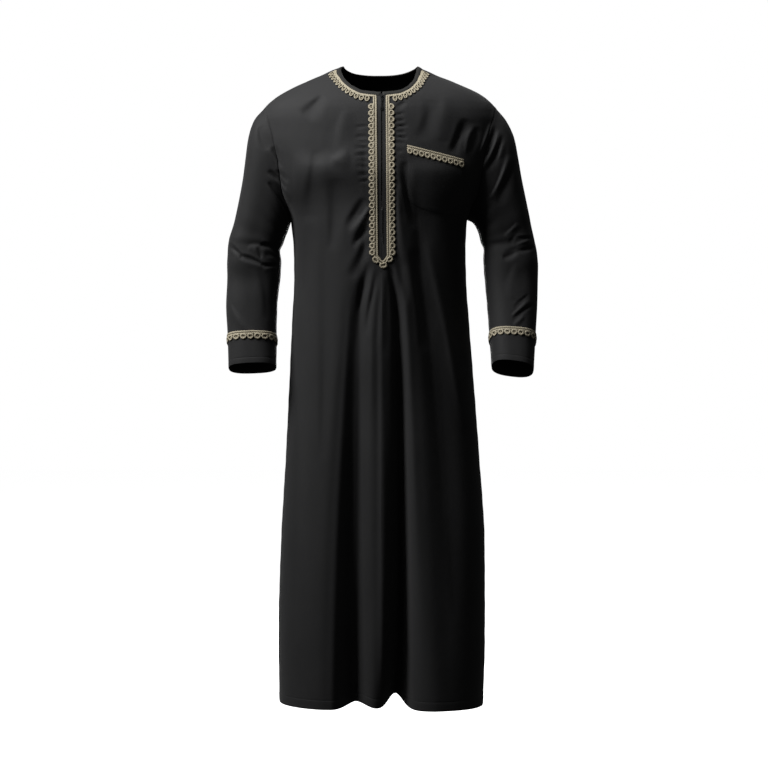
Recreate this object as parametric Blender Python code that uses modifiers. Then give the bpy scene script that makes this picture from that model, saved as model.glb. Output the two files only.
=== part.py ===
"""Long-sleeved thobe worn by nobody: an ankle-length robe that keeps its hollow worn form.

+X is the wearer's left, -Y the front and +Z up. The origin lies midway between the two high points
of the shoulders, where the robe hangs. Sizes here are in millimetres and meshes are in metres.
"""
import math
from bisect import bisect_right

import bmesh
import bpy
from mathutils import Vector
from mathutils.bvhtree import BVHTree

MM = 0.001
AHEAD_Y = -400.0       # well in front of the robe
BACKWARDS = Vector((0.0, 1.0, 0.0))

# Cloth and seams
CLOTH = 1.2            # wall of the panels and sleeves
TRIM_CLOTH = 1.0       # wall of the pocket patch and the zip tapes
SEAM_GAP = 0.4         # between the outer edges of two panels at a seam
ROUNDNESS = 2.3        # exponent of the body's rounded sections

# Hem
HEM_Z = -1397.0        # the hem hangs level, 1397 below the shoulders
HEM_SLOPE = -0.015     # fall of the hem towards the wearer's left
HEM_RISE_ROWS = (      # where a deep fold lifts the hem: x, half width, rise
    (-50.0, 26.0, 12.0),
    (28.0, 20.0, 25.0),
)

# Armhole, an upright egg seen from the side, between the shoulder point and the armpit
SHOULDER_Z = -88.0
ARMPIT_Z = -337.0
ARMHOLE_FRONT = 68.0   # reach of the armhole to the front
ARMHOLE_BACK = 78.0    # reach of the armhole to the back
SLEEVE_SIDES = 22

# Slit and zip
SLIT_Z = -432.0        # bottom end of the slit
SLIT_HALF = 1.5        # half the slit's width
TAPE_EDGE_X = (0.5, 6.5, 13.0)
TAPE_TOP_Z = -82.0
TAPE_BELOW = 12.0      # the tapes run this far below the slit
TAPE_ROWS = 14
TAPE_DEPTH = 0.6       # between the tapes and the inside of the front
SLIDER_Z = -80.0
SLIDER_WIDTH = 7.0
SLIDER_THICK = 2.4
SLIDER_LENGTH = 9.0
SLIDER_BEVEL = 0.7
SLIDER_SEAT = 0.4      # between the slider and the cloth
PULL_LENGTH = 34.0
PULL_DROP = 31.6       # height of the pull's axis over its tip
PULL_WIDTH = 4.4
PULL_WAIST = 3.5       # narrowest width, between the hinge and the round tip
PULL_WAIST_DROP = 22.8
PULL_ABOVE = 0.5       # the tab's end over its axis
PULL_TIP_WIDTH = 7.0
PULL_THICK = 1.2
PULL_PIN = 1.15        # height of the pull's axis over the slider's face
PULL_PIN_DROP = 2.0    # the axis lies this far below the slider's middle
PULL_TIP_HEIGHT = 1.9  # of the tip's middle over the cloth

# Neck binding
BAND_WIDTH = 11.5

# Braid: straight cords with a row of loops along one side
BRAID_WIDTH = 19.6
BRAID_CUSP = 14.5      # the notch between two loops
BRAID_SHOULDER = 1.4   # a loop's widest line lies this far inside its tip
BRAID_EYE = 11.0       # middle of a loop's eye
BRAID_EYE_HALF = 2.5
BRAID_LOOP_HALF = 4.9  # half width of a loop's outer part
BRAID_THICK = 1.6
BRAID_LIFT = 0.8       # over the faceted panel, so that no facet reaches the braid
BRAID_CORNER = 16.0    # from the corner to the first loop round the neck
BRAID_NECK_GAP = 0.8   # below the neck binding
BRAID_HALF_GAP = 9.6   # from the slit's middle to the braid at the top
BRAID_LOW_X = (-6.8, 10.2)  # its straight edges at the foot of the slit
BRAID_LOW_Z = -425.0
RING_WIDTH = 18.3      # the braid's width at the three rings of its pointed end
NECK_LOOPS = 12
PLACKET_LOOPS = 23
NECK_BRAID_END = 0.9   # the braid stops just before the shoulder seam
POCKET_LOOPS = 10

# The pointed end of the braid, where three rings stand apart: x and z of the straight edge, the
# direction in which the loops reach in degrees from +X, and how far out the notch lies
POINT_ROWS = (
    (-6.8, -425.0, 180.0, 8.0),
    (1.5, -434.5, 222.0, 6.4),
    (3.2, -434.0, 329.0, 6.8),
    (10.2, -425.0, 360.0, 8.0),
)


class Table:
    """Smooth curves through short rows of named columns. The first column is the key."""

    def __init__(self, names, rows):
        ordered = sorted(rows)
        self.keys = [row[0] for row in ordered]
        self.columns = {}
        for index, name in enumerate(names.split()):
            values = [row[index] for row in ordered]
            self.columns[name] = (values, self.slopes(values))

    def slopes(self, values):
        steps = [
            (values[i + 1] - values[i]) / (self.keys[i + 1] - self.keys[i])
            for i in range(len(values) - 1)
        ]
        inner = [
            2.0 * a * b / (a + b) if a * b > 0.0 else 0.0
            for a, b in zip(steps, steps[1:])
        ]
        return [steps[0]] + inner + [steps[-1]]

    def at(self, key, name):
        values, slopes = self.columns[name]
        key = min(max(key, self.keys[0]), self.keys[-1])
        i = min(max(bisect_right(self.keys, key) - 1, 0), len(self.keys) - 2)
        span = self.keys[i + 1] - self.keys[i]
        t = (key - self.keys[i]) / span
        start = values[i] * (1 + 2 * t) * (1 - t) ** 2 + slopes[i] * span * t * (1 - t) ** 2
        end = values[i + 1] * (3 - 2 * t) * t ** 2 - slopes[i + 1] * span * (1 - t) * t ** 2
        return start + end


# Sections of the body: reach to the wearer's right and left, and to the front and back.
# Between the shoulder point and the armpit the sides are cut off by the armholes.
BODY = Table("z right left front back", (
    (0.0, 84.0, 79.0, 0.0, 0.0),
    (-3.0, 93.0, 84.0, 4.0, 36.0),
    (-8.0, 106.5, 93.0, 10.0, 54.0),
    (-14.0, 119.0, 106.0, 17.0, 66.0),
    (-21.0, 133.5, 120.5, 24.0, 75.0),
    (-34.0, 164.0, 154.0, 43.0, 87.0),
    (-47.0, 192.0, 184.0, 58.5, 94.5),
    (-60.0, 216.5, 211.5, 72.0, 100.0),
    (-74.0, 237.5, 231.5, 85.0, 105.0),
    (-88.0, 253.0, 246.0, 94.5, 109.0),
    (-104.0, 261.5, 254.5, 102.5, 112.5),
    (-125.0, 266.0, 259.5, 109.0, 116.0),
    (-160.0, 265.0, 259.0, 116.5, 120.0),
    (-217.0, 252.0, 247.0, 128.0, 122.0),
    (-250.0, 242.5, 237.0, 131.5, 121.0),
    (-280.0, 232.0, 226.0, 130.0, 119.0),
    (-320.0, 207.0, 197.0, 127.0, 115.0),
    (-340.0, 199.5, 186.5, 125.7, 113.3),
    (-404.0, 193.0, 183.5, 124.0, 108.0),
    (-460.0, 191.8, 184.4, 123.0, 105.0),
    (-567.0, 196.7, 191.4, 122.0, 107.0),
    (-690.0, 202.2, 201.0, 122.0, 114.0),
    (-855.0, 210.1, 213.4, 127.0, 122.0),
    (-1050.0, 221.0, 225.5, 134.0, 130.0),
    (-1250.0, 226.4, 226.4, 141.0, 140.0),
    (-1400.0, 224.5, 222.0, 146.0, 147.0),
))

# Height of the neck edge along the front and back, by the share of the half width
NECK = Table("share front back", (
    (0.0, -68.5, -11.0),
    (0.175, -63.8, -10.8),
    (0.275, -54.8, -10.4),
    (0.4, -41.0, -9.6),
    (0.55, -27.0, -8.0),
    (0.7, -16.0, -5.6),
    (0.85, -7.0, -3.0),
    (1.0, 0.0, 0.0),
))

# Folds of the front, from the bottom of the slit to the hem: middle, half widths towards the
# wearer's right and left, and depth. A negative depth is a ridge.
FOLD_NAMES = "z x right left depth"
FRONT_FOLDS = (
    # Trough on the wearer's right of the middle pleat
    Table(FOLD_NAMES, (
        (-440.0, -28.0, 12.0, 9.0, 0.0),
        (-525.0, -49.0, 17.0, 14.0, 9.0),
        (-660.0, -58.0, 21.0, 22.0, 16.0),
        (-840.0, -61.0, 26.0, 34.0, 27.0),
        (-1050.0, -65.0, 27.0, 36.0, 39.0),
        (-1400.0, -63.0, 29.0, 28.0, 57.0),
    )),
    # Deepest trough, on the wearer's left of the middle pleat
    Table(FOLD_NAMES, (
        (-436.0, 18.0, 8.0, 8.0, 0.0),
        (-525.0, 30.0, 12.0, 11.0, 11.0),
        (-600.0, 36.0, 14.0, 12.0, 16.0),
        (-660.0, 39.0, 16.0, 13.0, 21.0),
        (-840.0, 42.0, 20.0, 16.0, 36.0),
        (-1050.0, 42.0, 22.0, 21.0, 56.0),
        (-1250.0, 40.0, 23.0, 27.0, 76.0),
        (-1400.0, 32.0, 24.0, 33.0, 90.0),
    )),
    # Long trough from the inner end of the pocket braid, gentle on its outer side
    Table(FOLD_NAMES, (
        (-205.0, 48.0, 9.0, 20.0, 0.0),
        (-250.0, 60.0, 10.0, 34.0, 5.0),
        (-330.0, 76.0, 13.0, 44.0, 8.0),
        (-400.0, 80.0, 13.0, 44.0, 9.0),
        (-450.0, 84.0, 14.0, 44.0, 11.0),
        (-560.0, 98.0, 17.0, 46.0, 14.0),
        (-700.0, 112.0, 20.0, 54.0, 14.0),
        (-900.0, 128.0, 26.0, 60.0, 12.0),
        (-1150.0, 138.0, 32.0, 60.0, 8.0),
        (-1400.0, 148.0, 34.0, 50.0, 4.0),
    )),
    # Faint ridge that runs out towards the wearer's left
    Table(FOLD_NAMES, (
        (-370.0, 94.0, 14.0, 14.0, 0.0),
        (-480.0, 112.0, 16.0, 16.0, -4.0),
        (-640.0, 146.0, 18.0, 18.0, -5.0),
        (-800.0, 178.0, 20.0, 20.0, 0.0),
    )),
    # Valley between the two lower halves of the skirt
    Table(FOLD_NAMES, (
        (-640.0, -8.0, 60.0, 60.0, 0.0),
        (-900.0, -8.0, 70.0, 70.0, 8.0),
        (-1150.0, -6.0, 78.0, 78.0, 18.0),
        (-1400.0, -5.0, 82.0, 82.0, 30.0),
    )),
)
BACK_FOLDS = (
    Table(FOLD_NAMES, (
        (-520.0, -72.0, 18.0, 18.0, 0.0),
        (-800.0, -88.0, 26.0, 20.0, 18.0),
        (-1400.0, -98.0, 36.0, 28.0, 44.0),
    )),
    Table(FOLD_NAMES, (
        (-380.0, -12.0, 14.0, 14.0, 0.0),
        (-620.0, -18.0, 16.0, 20.0, 14.0),
        (-1000.0, -26.0, 20.0, 26.0, 36.0),
        (-1400.0, -30.0, 28.0, 34.0, 62.0),
    )),
    Table(FOLD_NAMES, (
        (-460.0, 40.0, 14.0, 14.0, 0.0),
        (-760.0, 52.0, 22.0, 18.0, 20.0),
        (-1400.0, 60.0, 30.0, 28.0, 52.0),
    )),
    Table(FOLD_NAMES, (
        (-700.0, 104.0, 18.0, 18.0, 0.0),
        (-1000.0, 116.0, 22.0, 24.0, 16.0),
        (-1400.0, 126.0, 30.0, 32.0, 32.0),
    )),
    # Shallow hollow between the shoulder blades
    Table(FOLD_NAMES, (
        (-120.0, 2.0, 44.0, 44.0, 0.0),
        (-260.0, 0.0, 40.0, 40.0, 7.0),
        (-480.0, -3.0, 34.0, 34.0, 4.0),
        (-640.0, -4.0, 30.0, 30.0, 0.0),
    )),
)

# Sections of the sleeves from the armhole to the cuff: the outer and inner point in front view,
# the section's middle from front to back, and half its depth
SLEEVE_NAMES = "step out_x out_z in_x in_z mid_y depth"
SLEEVE_RIGHT = Table(SLEEVE_NAMES, (
    (0, -253.0, -88.0, -200.5, -337.0, 5.0, 73.0),
    (1, -280.5, -120.0, -202.0, -343.0, 5.0, 73.0),
    (2, -293.3, -159.5, -203.5, -348.5, 5.0, 72.0),
    (3, -299.7, -205.6, -205.5, -355.0, 5.0, 71.0),
    (4, -304.8, -245.1, -208.0, -363.0, 5.0, 70.0),
    (5, -313.1, -291.2, -211.5, -372.0, 5.0, 68.0),
    (6, -323.1, -337.4, -216.0, -384.0, 4.0, 66.0),
    (7, -336.4, -384.0, -220.2, -401.2, 3.0, 64.0),
    (8, -340.0, -416.9, -221.8, -430.1, 0.0, 62.0),
    (9, -339.6, -459.0, -223.6, -465.6, -4.0, 59.5),
    (10, -341.0, -523.1, -229.3, -525.3, -12.0, 56.0),
    (11, -336.6, -593.5, -230.7, -592.4, -25.0, 53.5),
    (12, -333.3, -665.8, -230.3, -661.8, -41.0, 51.5),
))
SLEEVE_LEFT = Table(SLEEVE_NAMES, (
    (0, 246.0, -88.0, 188.0, -337.0, 5.0, 73.0),
    (1, 273.0, -120.0, 195.0, -339.0, 5.0, 73.0),
    (2, 291.1, -159.5, 200.5, -342.5, 5.0, 72.0),
    (3, 300.2, -205.6, 205.0, -348.0, 5.0, 71.0),
    (4, 307.0, -245.1, 209.5, -356.5, 5.0, 70.0),
    (5, 316.4, -291.2, 213.5, -367.0, 5.0, 68.0),
    (6, 326.1, -337.4, 217.0, -380.0, 4.0, 66.0),
    (7, 336.2, -386.0, 220.0, -397.0, 2.0, 64.0),
    (8, 343.0, -423.6, 223.8, -427.0, -4.0, 62.0),
    (9, 342.8, -459.3, 225.6, -459.3, -11.0, 59.5),
    (10, 340.0, -523.5, 230.1, -521.3, -23.0, 56.0),
    (11, 334.6, -594.0, 234.6, -587.4, -43.0, 53.5),
    (12, 328.4, -670.8, 238.0, -659.3, -69.0, 51.5),
))
SLEEVE_STEPS = (0, 0.5, 1, 2, 3, 4, 5, 5.6, 6.2, 6.7, 7.1, 7.5, 8, 8.5, 9, 9.6, 10.3, 10.8, 11.4, 12)
LAST_STEP = SLEEVE_STEPS[-1]
SLEEVE_ROUNDNESS = 2.7  # exponent of the sleeves' rounded sections
ARMHOLE_BLEND = 3.5    # by this step a sleeve has left the armhole's own outline
CUFF_BRAID_STEP = 11.0

# Large creases of a sleeve: step and angle of the middle, reach along the arm and round it,
# and depth. The angle runs from the outer side, 0, through the front, 90.
SLEEVE_CREASES = (
    (6.4, 70.0, 0.45, 55.0, 2.0),
    (7.3, 110.0, 0.4, 60.0, 3.0),
    (7.9, 40.0, 0.4, 45.0, 2.0),
    (7.2, 215.0, 0.5, 50.0, 5.0),
    (5.0, 140.0, 0.6, 35.0, 2.0),
    (3.4, 128.0, 0.8, 26.0, 2.0),
    (3.0, 235.0, 0.8, 30.0, 5.0),
    (9.3, 75.0, 0.5, 50.0, 4.0),
    (10.0, 250.0, 0.5, 50.0, 4.0),
)

# Columns of the panels, as shares of the half width
FRONT_COLUMNS = (0.055, 0.105, 0.155, 0.205, 0.26, 0.32, 0.39, 0.47, 0.56, 0.66, 0.77, 0.88, 0.96, 1.0)
BACK_COLUMNS = (0.08, 0.16, 0.24, 0.32, 0.41, 0.5, 0.6, 0.71, 0.82, 0.91, 0.97, 1.0)
SKIRT_ROWS = 16
SKIRT_EASE = 0.25      # the rows lie closer together towards the armpit
ROWS_OVER_SHOULDER = 3

# Pocket patch: corners of the front view
POCKET_RIGHT_X = 54.0
POCKET_LEFT_X = 176.0
POCKET_TOP_Z = -187.0
POCKET_SLOPE = -0.235
POCKET_DEPTH = 128.0
POCKET_ROUNDING = 14.0
POCKET_COLUMNS = 13
POCKET_ROWS = 9
POCKET_LIFT = 1.25

MATERIALS = {
    "cloth": ((0.012, 0.012, 0.013, 1.0), 0.72, 0.0),
    "binding": ((0.015, 0.015, 0.016, 1.0), 0.65, 0.0),
    "tape": ((0.010, 0.010, 0.010, 1.0), 0.8, 0.0),
    "braid": ((0.44, 0.37, 0.24, 1.0), 0.5, 0.1),
    "metal": ((0.05, 0.05, 0.05, 1.0), 0.35, 0.9),
}


def clear_scene():
    for thing in list(bpy.data.objects):
        bpy.data.objects.remove(thing, do_unlink=True)


def material(name, kind):
    colour, roughness, metallic = MATERIALS[kind]
    made = bpy.data.materials.new(name)
    made.use_nodes = True
    shader = made.node_tree.nodes["Principled BSDF"]
    shader.inputs["Base Color"].default_value = colour
    shader.inputs["Roughness"].default_value = roughness
    shader.inputs["Metallic"].default_value = metallic
    return made


def bump(distance, width):
    """Soft round profile, 1 in the middle."""
    return math.exp(-((distance / width) ** 2))


def fold_depth(folds, x, z):
    total = 0.0
    for fold in folds:
        if z < fold.keys[-1]:
            apart = x - fold.at(z, "x")
            total += fold.at(z, "depth") * bump(apart, fold.at(z, "right" if apart < 0.0 else "left"))
    return total


def body_point(share, z, face):
    """Outer surface of the body; share runs -1..1 across, and face is -1 in front and 1 behind."""
    right = BODY.at(z, "right")
    left = BODY.at(z, "left")
    x = (left - right) / 2 + share * (left + right) / 2
    bulge = (1.0 - min(abs(share), 1.0) ** ROUNDNESS) ** (1.0 / ROUNDNESS)
    folds = FRONT_FOLDS if face < 0 else BACK_FOLDS
    depth = BODY.at(z, "front" if face < 0 else "back") * bulge
    depth -= fold_depth(folds, x, z) * (1.0 - share ** 4)
    return Vector((x, face * depth, z))


def share_at(x, z):
    right = BODY.at(z, "right")
    left = BODY.at(z, "left")
    return (x - (left - right) / 2) / ((left + right) / 2)


def front_at(x, z):
    return body_point(share_at(x, z), z, -1)


def hem_z(x):
    return HEM_Z + HEM_SLOPE * x + sum(rise * bump(x - at, width) for at, width, rise in HEM_RISE_ROWS)


def below_neck(share, face, distance):
    """Point of the surface this far below the neck edge."""
    z = NECK.at(abs(share), "front" if face < 0 else "back")
    probe = 0.25
    steps = 6
    for _ in range(steps):
        slope = (body_point(share, z, face) - body_point(share, z - probe, face)).length / probe
        z -= distance / steps / slope
    return body_point(share, z, face)


def armhole_share(angle, face):
    """How far out the panel reaches at this angle of the armhole."""
    z = armhole_z(angle)
    reach = abs(math.sin(angle)) * (ARMHOLE_FRONT if face < 0 else ARMHOLE_BACK)
    depth = BODY.at(z, "front" if face < 0 else "back")
    return (1.0 - (reach / depth) ** ROUNDNESS) ** (1.0 / ROUNDNESS)


def armhole_z(angle):
    return (SHOULDER_Z + ARMPIT_Z) / 2 + (SHOULDER_Z - ARMPIT_Z) / 2 * math.cos(angle)


def armhole_point(side, angle):
    face = -1 if math.sin(angle) > 0 else 1
    return body_point(side * armhole_share(angle, face), armhole_z(angle), face)


def section(table, step):
    outer = Vector((table.at(step, "out_x"), table.at(step, "mid_y"), table.at(step, "out_z")))
    inner = Vector((table.at(step, "in_x"), table.at(step, "mid_y"), table.at(step, "in_z")))
    return outer, inner


def rounded(angle):
    """Cosine and sine on the outline of a rounded section."""
    wide, deep = math.cos(angle), math.sin(angle)
    size = (abs(wide) ** SLEEVE_ROUNDNESS + abs(deep) ** SLEEVE_ROUNDNESS) ** (-1.0 / SLEEVE_ROUNDNESS)
    return wide * size, deep * size


def sleeve_point(side, step, angle):
    """Outer surface of a sleeve; the angle is 0 on the outer side and 90 degrees in front."""
    table = SLEEVE_LEFT if side > 0 else SLEEVE_RIGHT
    outer, inner = section(table, step)
    middle = (outer + inner) / 2
    before = sum(section(table, max(step - 0.3, 0.0)), Vector()) / 2
    after = sum(section(table, min(step + 0.3, LAST_STEP)), Vector()) / 2
    axis = (after - before).normalized()
    forward = Vector((0.0, -1.0, 0.0))
    forward = (forward - axis * forward.dot(axis)).normalized()
    across = (outer - inner) / 2
    depth = table.at(step, "depth")
    wide, deep = rounded(angle)
    point = middle + across * wide + forward * depth * deep
    if step < ARMHOLE_BLEND:
        first_outer, first_inner = section(table, 0)
        first = (first_outer + first_inner) / 2
        first += (first_outer - first_inner) / 2 * wide
        first += Vector((0.0, -table.at(0, "depth"), 0.0)) * deep
        fade = (1.0 - step / ARMHOLE_BLEND) ** 2
        point += (armhole_point(side, angle) - first) * fade
        chord = (first_outer - first_inner).normalized()
        point += Vector((side * abs(chord.z), 0.0, -abs(chord.x))) * SEAM_GAP * fade
    inwards = (middle - point).normalized()
    degrees = math.degrees(angle)
    for at, around, reach, spread, crease in SLEEVE_CREASES:
        apart = (degrees - around + 180.0) % 360.0 - 180.0
        point += inwards * crease * bump(step - at, reach) * bump(apart, spread)
    return point


def triangles_of(grid, i, j, skip, columns):
    """Two triangles of one cell, split along its shorter diagonal."""
    if (i, j) in skip:
        return []
    k = (j + 1) % columns
    a, b = (i, j), (i, k)
    c, d = (i + 1, k), (i + 1, j)
    short = (grid[a[0]][a[1]] - grid[c[0]][c[1]]).length <= (grid[b[0]][b[1]] - grid[d[0]][d[1]]).length
    return [(a, b, c), (a, c, d)] if short else [(a, b, d), (b, c, d)]


def grid_normals(grid, closed, seam_rows=()):
    """Normals of a grid. Along a seam of two mirrored panels they keep to the seam's plane."""
    rows = len(grid)
    columns = len(grid[0])
    normals = []
    for i in range(rows):
        line = []
        for j in range(columns):
            left = grid[i][(j - 1) % columns] if closed or j else grid[i][j]
            right = grid[i][(j + 1) % columns] if closed or j < columns - 1 else grid[i][j]
            low = grid[max(i - 1, 0)][j]
            high = grid[min(i + 1, rows - 1)][j]
            normal = (right - left).cross(high - low).normalized()
            if i in seam_rows and j in (0, columns - 1):
                normal.y = 0.0
                normal.normalize()
            line.append(normal)
        normals.append(line)
    return normals


def build_object(name, kind, collection, points, normals, faces, low, high):
    """Closed body between two offsets, low and high, of one sheet of triangles."""
    shape = bmesh.new()
    used = sorted({corner for face in faces for corner in face})
    under = {key: shape.verts.new((points[key] + normals[key] * low) * MM) for key in used}
    over = {key: shape.verts.new((points[key] + normals[key] * high) * MM) for key in used}
    edges = {(face[i], face[i - 2]) for face in faces for i in range(3)}
    for face in faces:
        shape.faces.new([over[key] for key in face])
        shape.faces.new([under[key] for key in reversed(face)])
    for a, b in edges:
        if (b, a) not in edges:
            shape.faces.new((over[b], over[a], under[a], under[b]))
    bmesh.ops.recalc_face_normals(shape, faces=shape.faces)
    mesh = bpy.data.meshes.new(name)
    shape.to_mesh(mesh)
    shape.free()
    mesh.shade_smooth()
    mesh.set_sharp_from_angle(angle=math.radians(50))
    mesh.materials.append(material(name, kind))
    made = bpy.data.objects.new(name, mesh)
    collection.objects.link(made)
    return made


def build_wall(name, kind, collection, grid, closed=False, skip=(), seam_rows=(), lift=0.0, thick=CLOTH):
    """Cloth wall under a grid of outer points."""
    columns = len(grid[0])
    normals = grid_normals(grid, closed, seam_rows)
    cells = [(i, j) for i in range(len(grid) - 1) for j in range(columns if closed else columns - 1)]
    faces = [face for i, j in cells for face in triangles_of(grid, i, j, skip, columns)]
    points = {(i, j): point for i, line in enumerate(grid) for j, point in enumerate(line)}
    arrows = {(i, j): normals[i][j] for i, j in points}
    return build_object(name, kind, collection, points, arrows, faces, lift - thick, lift)


def surface_of(grid, closed=False, skip=()):
    """Faceted outer surface of a grid, to seat trim on."""
    columns = len(grid[0])
    cells = [(i, j) for i in range(len(grid) - 1) for j in range(columns if closed else columns - 1)]
    faces = [face for i, j in cells for face in triangles_of(grid, i, j, skip, columns)]
    points = [point for line in grid for point in line]
    return BVHTree.FromPolygons(points, [[i * columns + j for i, j in face] for face in faces])


def panel_rows():
    """Heights of a panel's rows: the skirt, then the armhole, each with its armhole angle."""
    skirt = ARMPIT_Z - HEM_Z
    levels = []
    for k in range(SKIRT_ROWS):
        share = k / SKIRT_ROWS
        levels.append(HEM_Z + skirt * share * (1.0 + SKIRT_EASE - SKIRT_EASE * share))
    nearest = min(range(SKIRT_ROWS), key=lambda k: abs(levels[k] - SLIT_Z))
    levels[nearest] = SLIT_Z
    half_sides = SLEEVE_SIDES // 2
    angles = [math.pi * k / half_sides for k in range(half_sides, -1, -1)]
    return levels, angles


def panel_grid(face, shares):
    """Outer points of the front or back, from the hem up; the front has a column on each slit edge."""
    levels, angles = panel_rows()
    columns = [-share for share in reversed(shares)]
    columns += [(-SLIT_HALF,), (SLIT_HALF,)] if face < 0 else [0.0]
    columns += list(shares)

    def across(column, z, reach):
        if isinstance(column, tuple):
            return share_at(column[0], z)
        return column * reach

    grid = []
    for index, z in enumerate(levels):
        line = []
        for column in columns:
            point = body_point(across(column, z, 1.0), z, face)
            if index == 0:
                point.z = hem_z(point.x)
            if index == 1:
                point.z += (hem_z(point.x) - HEM_Z) / 3
            line.append(point)
        grid.append(line)
    for angle in angles:
        z = armhole_z(angle)
        reach = armhole_share(angle, face)
        grid.append([body_point(across(column, z, reach), z, face) for column in columns])
    for k in range(1, ROWS_OVER_SHOULDER + 1):
        line = []
        for column in columns:
            top = below_neck(across(column, SHOULDER_Z, 1.0), face, BAND_WIDTH + SEAM_GAP).z
            z = SHOULDER_Z + (top - SHOULDER_Z) * k / ROWS_OVER_SHOULDER
            line.append(body_point(across(column, z, 1.0), z, face))
        grid.append(line)
    for line in grid:
        for point in (line[0], line[-1]):
            if abs(point.y) < SEAM_GAP:
                point.y = face * SEAM_GAP / 2
    return grid


def seam_rows_of(grid):
    """Rows whose ends lie on the side seam or the shoulder seam."""
    return [i for i, line in enumerate(grid) if abs(line[0].y) < SEAM_GAP]


def slit_cells(grid):
    column = len(FRONT_COLUMNS)
    return {(i, column) for i in range(len(grid) - 1) if grid[i][column].z > SLIT_Z - 1.0}


def neck_band_grid():
    """Binding from one edge of the slit, round the back, to the other edge."""
    edge = share_at(SLIT_HALF, NECK.at(0.0, "front"))
    half = [(edge, -1)] + [(share, -1) for share in FRONT_COLUMNS]
    half += [(share, 1) for share in reversed(BACK_COLUMNS[:-1])]
    other = [(-share, face) for share, face in reversed(half)]
    other[-1] = (share_at(-SLIT_HALF, NECK.at(0.0, "front")), -1)
    around = half + [(0.0, 1)] + other
    drops = (BAND_WIDTH, 0.0)
    return [[below_neck(share, face, drop) for share, face in around] for drop in drops]


def sleeve_grid(side):
    angles = [side * 2 * math.pi * k / SLEEVE_SIDES for k in range(SLEEVE_SIDES)]
    return [[sleeve_point(side, step, angle) for angle in angles] for step in SLEEVE_STEPS]


def pocket_spots():
    """Spots in front of the patch: straight sides, a slanted mouth and rounded bottom corners."""
    grid = []
    for i in range(POCKET_ROWS + 1):
        line = []
        for j in range(POCKET_COLUMNS + 1):
            across = j / POCKET_COLUMNS
            x = POCKET_RIGHT_X + (POCKET_LEFT_X - POCKET_RIGHT_X) * across
            top = POCKET_TOP_Z + POCKET_SLOPE * (x - POCKET_RIGHT_X)
            bottom = top - POCKET_DEPTH + POCKET_ROUNDING * abs(2.0 * across - 1.0) ** 4
            line.append(Vector((x, AHEAD_Y, bottom + (top - bottom) * i / POCKET_ROWS)))
        grid.append(line)
    return grid


class Braid:
    """Flat pattern of a looped braid, laid along stations on a surface.

    A station is the start of a loop: the braid's straight edge there, the direction in which
    the loops reach, and how far out the notch between two loops lies.
    """

    def __init__(self, tree):
        self.tree = tree
        self.points = []
        self.normals = []
        self.faces = []

    def add(self, point):
        location, normal, _, _ = self.tree.find_nearest(point)
        self.points.append(location)
        self.normals.append(normal)
        return len(self.points) - 1

    def station(self, point, reach, cusp=BRAID_CUSP):
        reach = reach.normalized()
        return {
            "point": point,
            "reach": reach,
            "edge": self.add(point),
            "cusp": self.add(point + reach * cusp),
        }

    def loop(self, start, end, width):
        """One loop between two stations, with its eye cut through."""
        reach = start["reach"].lerp(end["reach"], 0.5).normalized()
        centre = start["point"].lerp(end["point"], 0.5) + reach * BRAID_EYE
        span = end["point"] + end["reach"] * BRAID_EYE - start["point"] - start["reach"] * BRAID_EYE
        along = span.normalized()
        out = width - BRAID_SHOULDER - BRAID_EYE
        eye = [
            self.add(centre + turn * BRAID_EYE_HALF)
            for turn in (-reach, along, reach, -along)
        ]
        rim = [
            self.add(centre - along * BRAID_LOOP_HALF + reach * out),
            self.add(centre + reach * (width - BRAID_EYE)),
            self.add(centre + along * BRAID_LOOP_HALF + reach * out),
        ]
        a, b, c, d = start["edge"], end["edge"], start["cusp"], end["cusp"]
        self.faces += [
            (a, b, eye[0]), (b, eye[1], eye[0]), (b, d, eye[1]), (d, rim[2], eye[1]),
            (rim[2], eye[2], eye[1]), (rim[2], rim[1], eye[2]), (rim[1], rim[0], eye[2]),
            (rim[0], eye[3], eye[2]), (rim[0], c, eye[3]), (c, a, eye[3]), (a, eye[0], eye[3]),
        ]

    def run(self, stations, width=BRAID_WIDTH):
        for start, end in zip(stations, stations[1:]):
            self.loop(start, end, width)

    def corner(self, start, end, tip):
        """Mitred corner without a loop, from one station round its outer tip to the next."""
        outer = self.add(start["point"] + end["point"] - tip)
        fan = [self.add(tip), end["edge"], end["cusp"], outer, start["cusp"], start["edge"]]
        self.faces += [(fan[0], fan[i], fan[i + 1]) for i in range(1, 5)]

    def build(self, name, collection):
        points = dict(enumerate(self.points))
        normals = dict(enumerate(self.normals))
        return build_object(name, "braid", collection, points, normals, self.faces,
                            BRAID_LIFT, BRAID_LIFT + BRAID_THICK)


def even_points(points, count):
    """This many equal steps along a line of points."""
    lengths = [0.0]
    for a, b in zip(points, points[1:]):
        lengths.append(lengths[-1] + (b - a).length)
    result = []
    for k in range(count + 1):
        goal = lengths[-1] * k / count
        i = min(max(bisect_right(lengths, goal) - 1, 0), len(points) - 2)
        share = (goal - lengths[i]) / (lengths[i + 1] - lengths[i])
        result.append(points[i].lerp(points[i + 1], min(share, 1.0)))
    return result


def braid_corner(side):
    """Where the braid turns from the neck into the slit."""
    share = share_at(side * BRAID_HALF_GAP, NECK.at(0.0, "front"))
    return below_neck(share, -1, BAND_WIDTH + BRAID_NECK_GAP)


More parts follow.
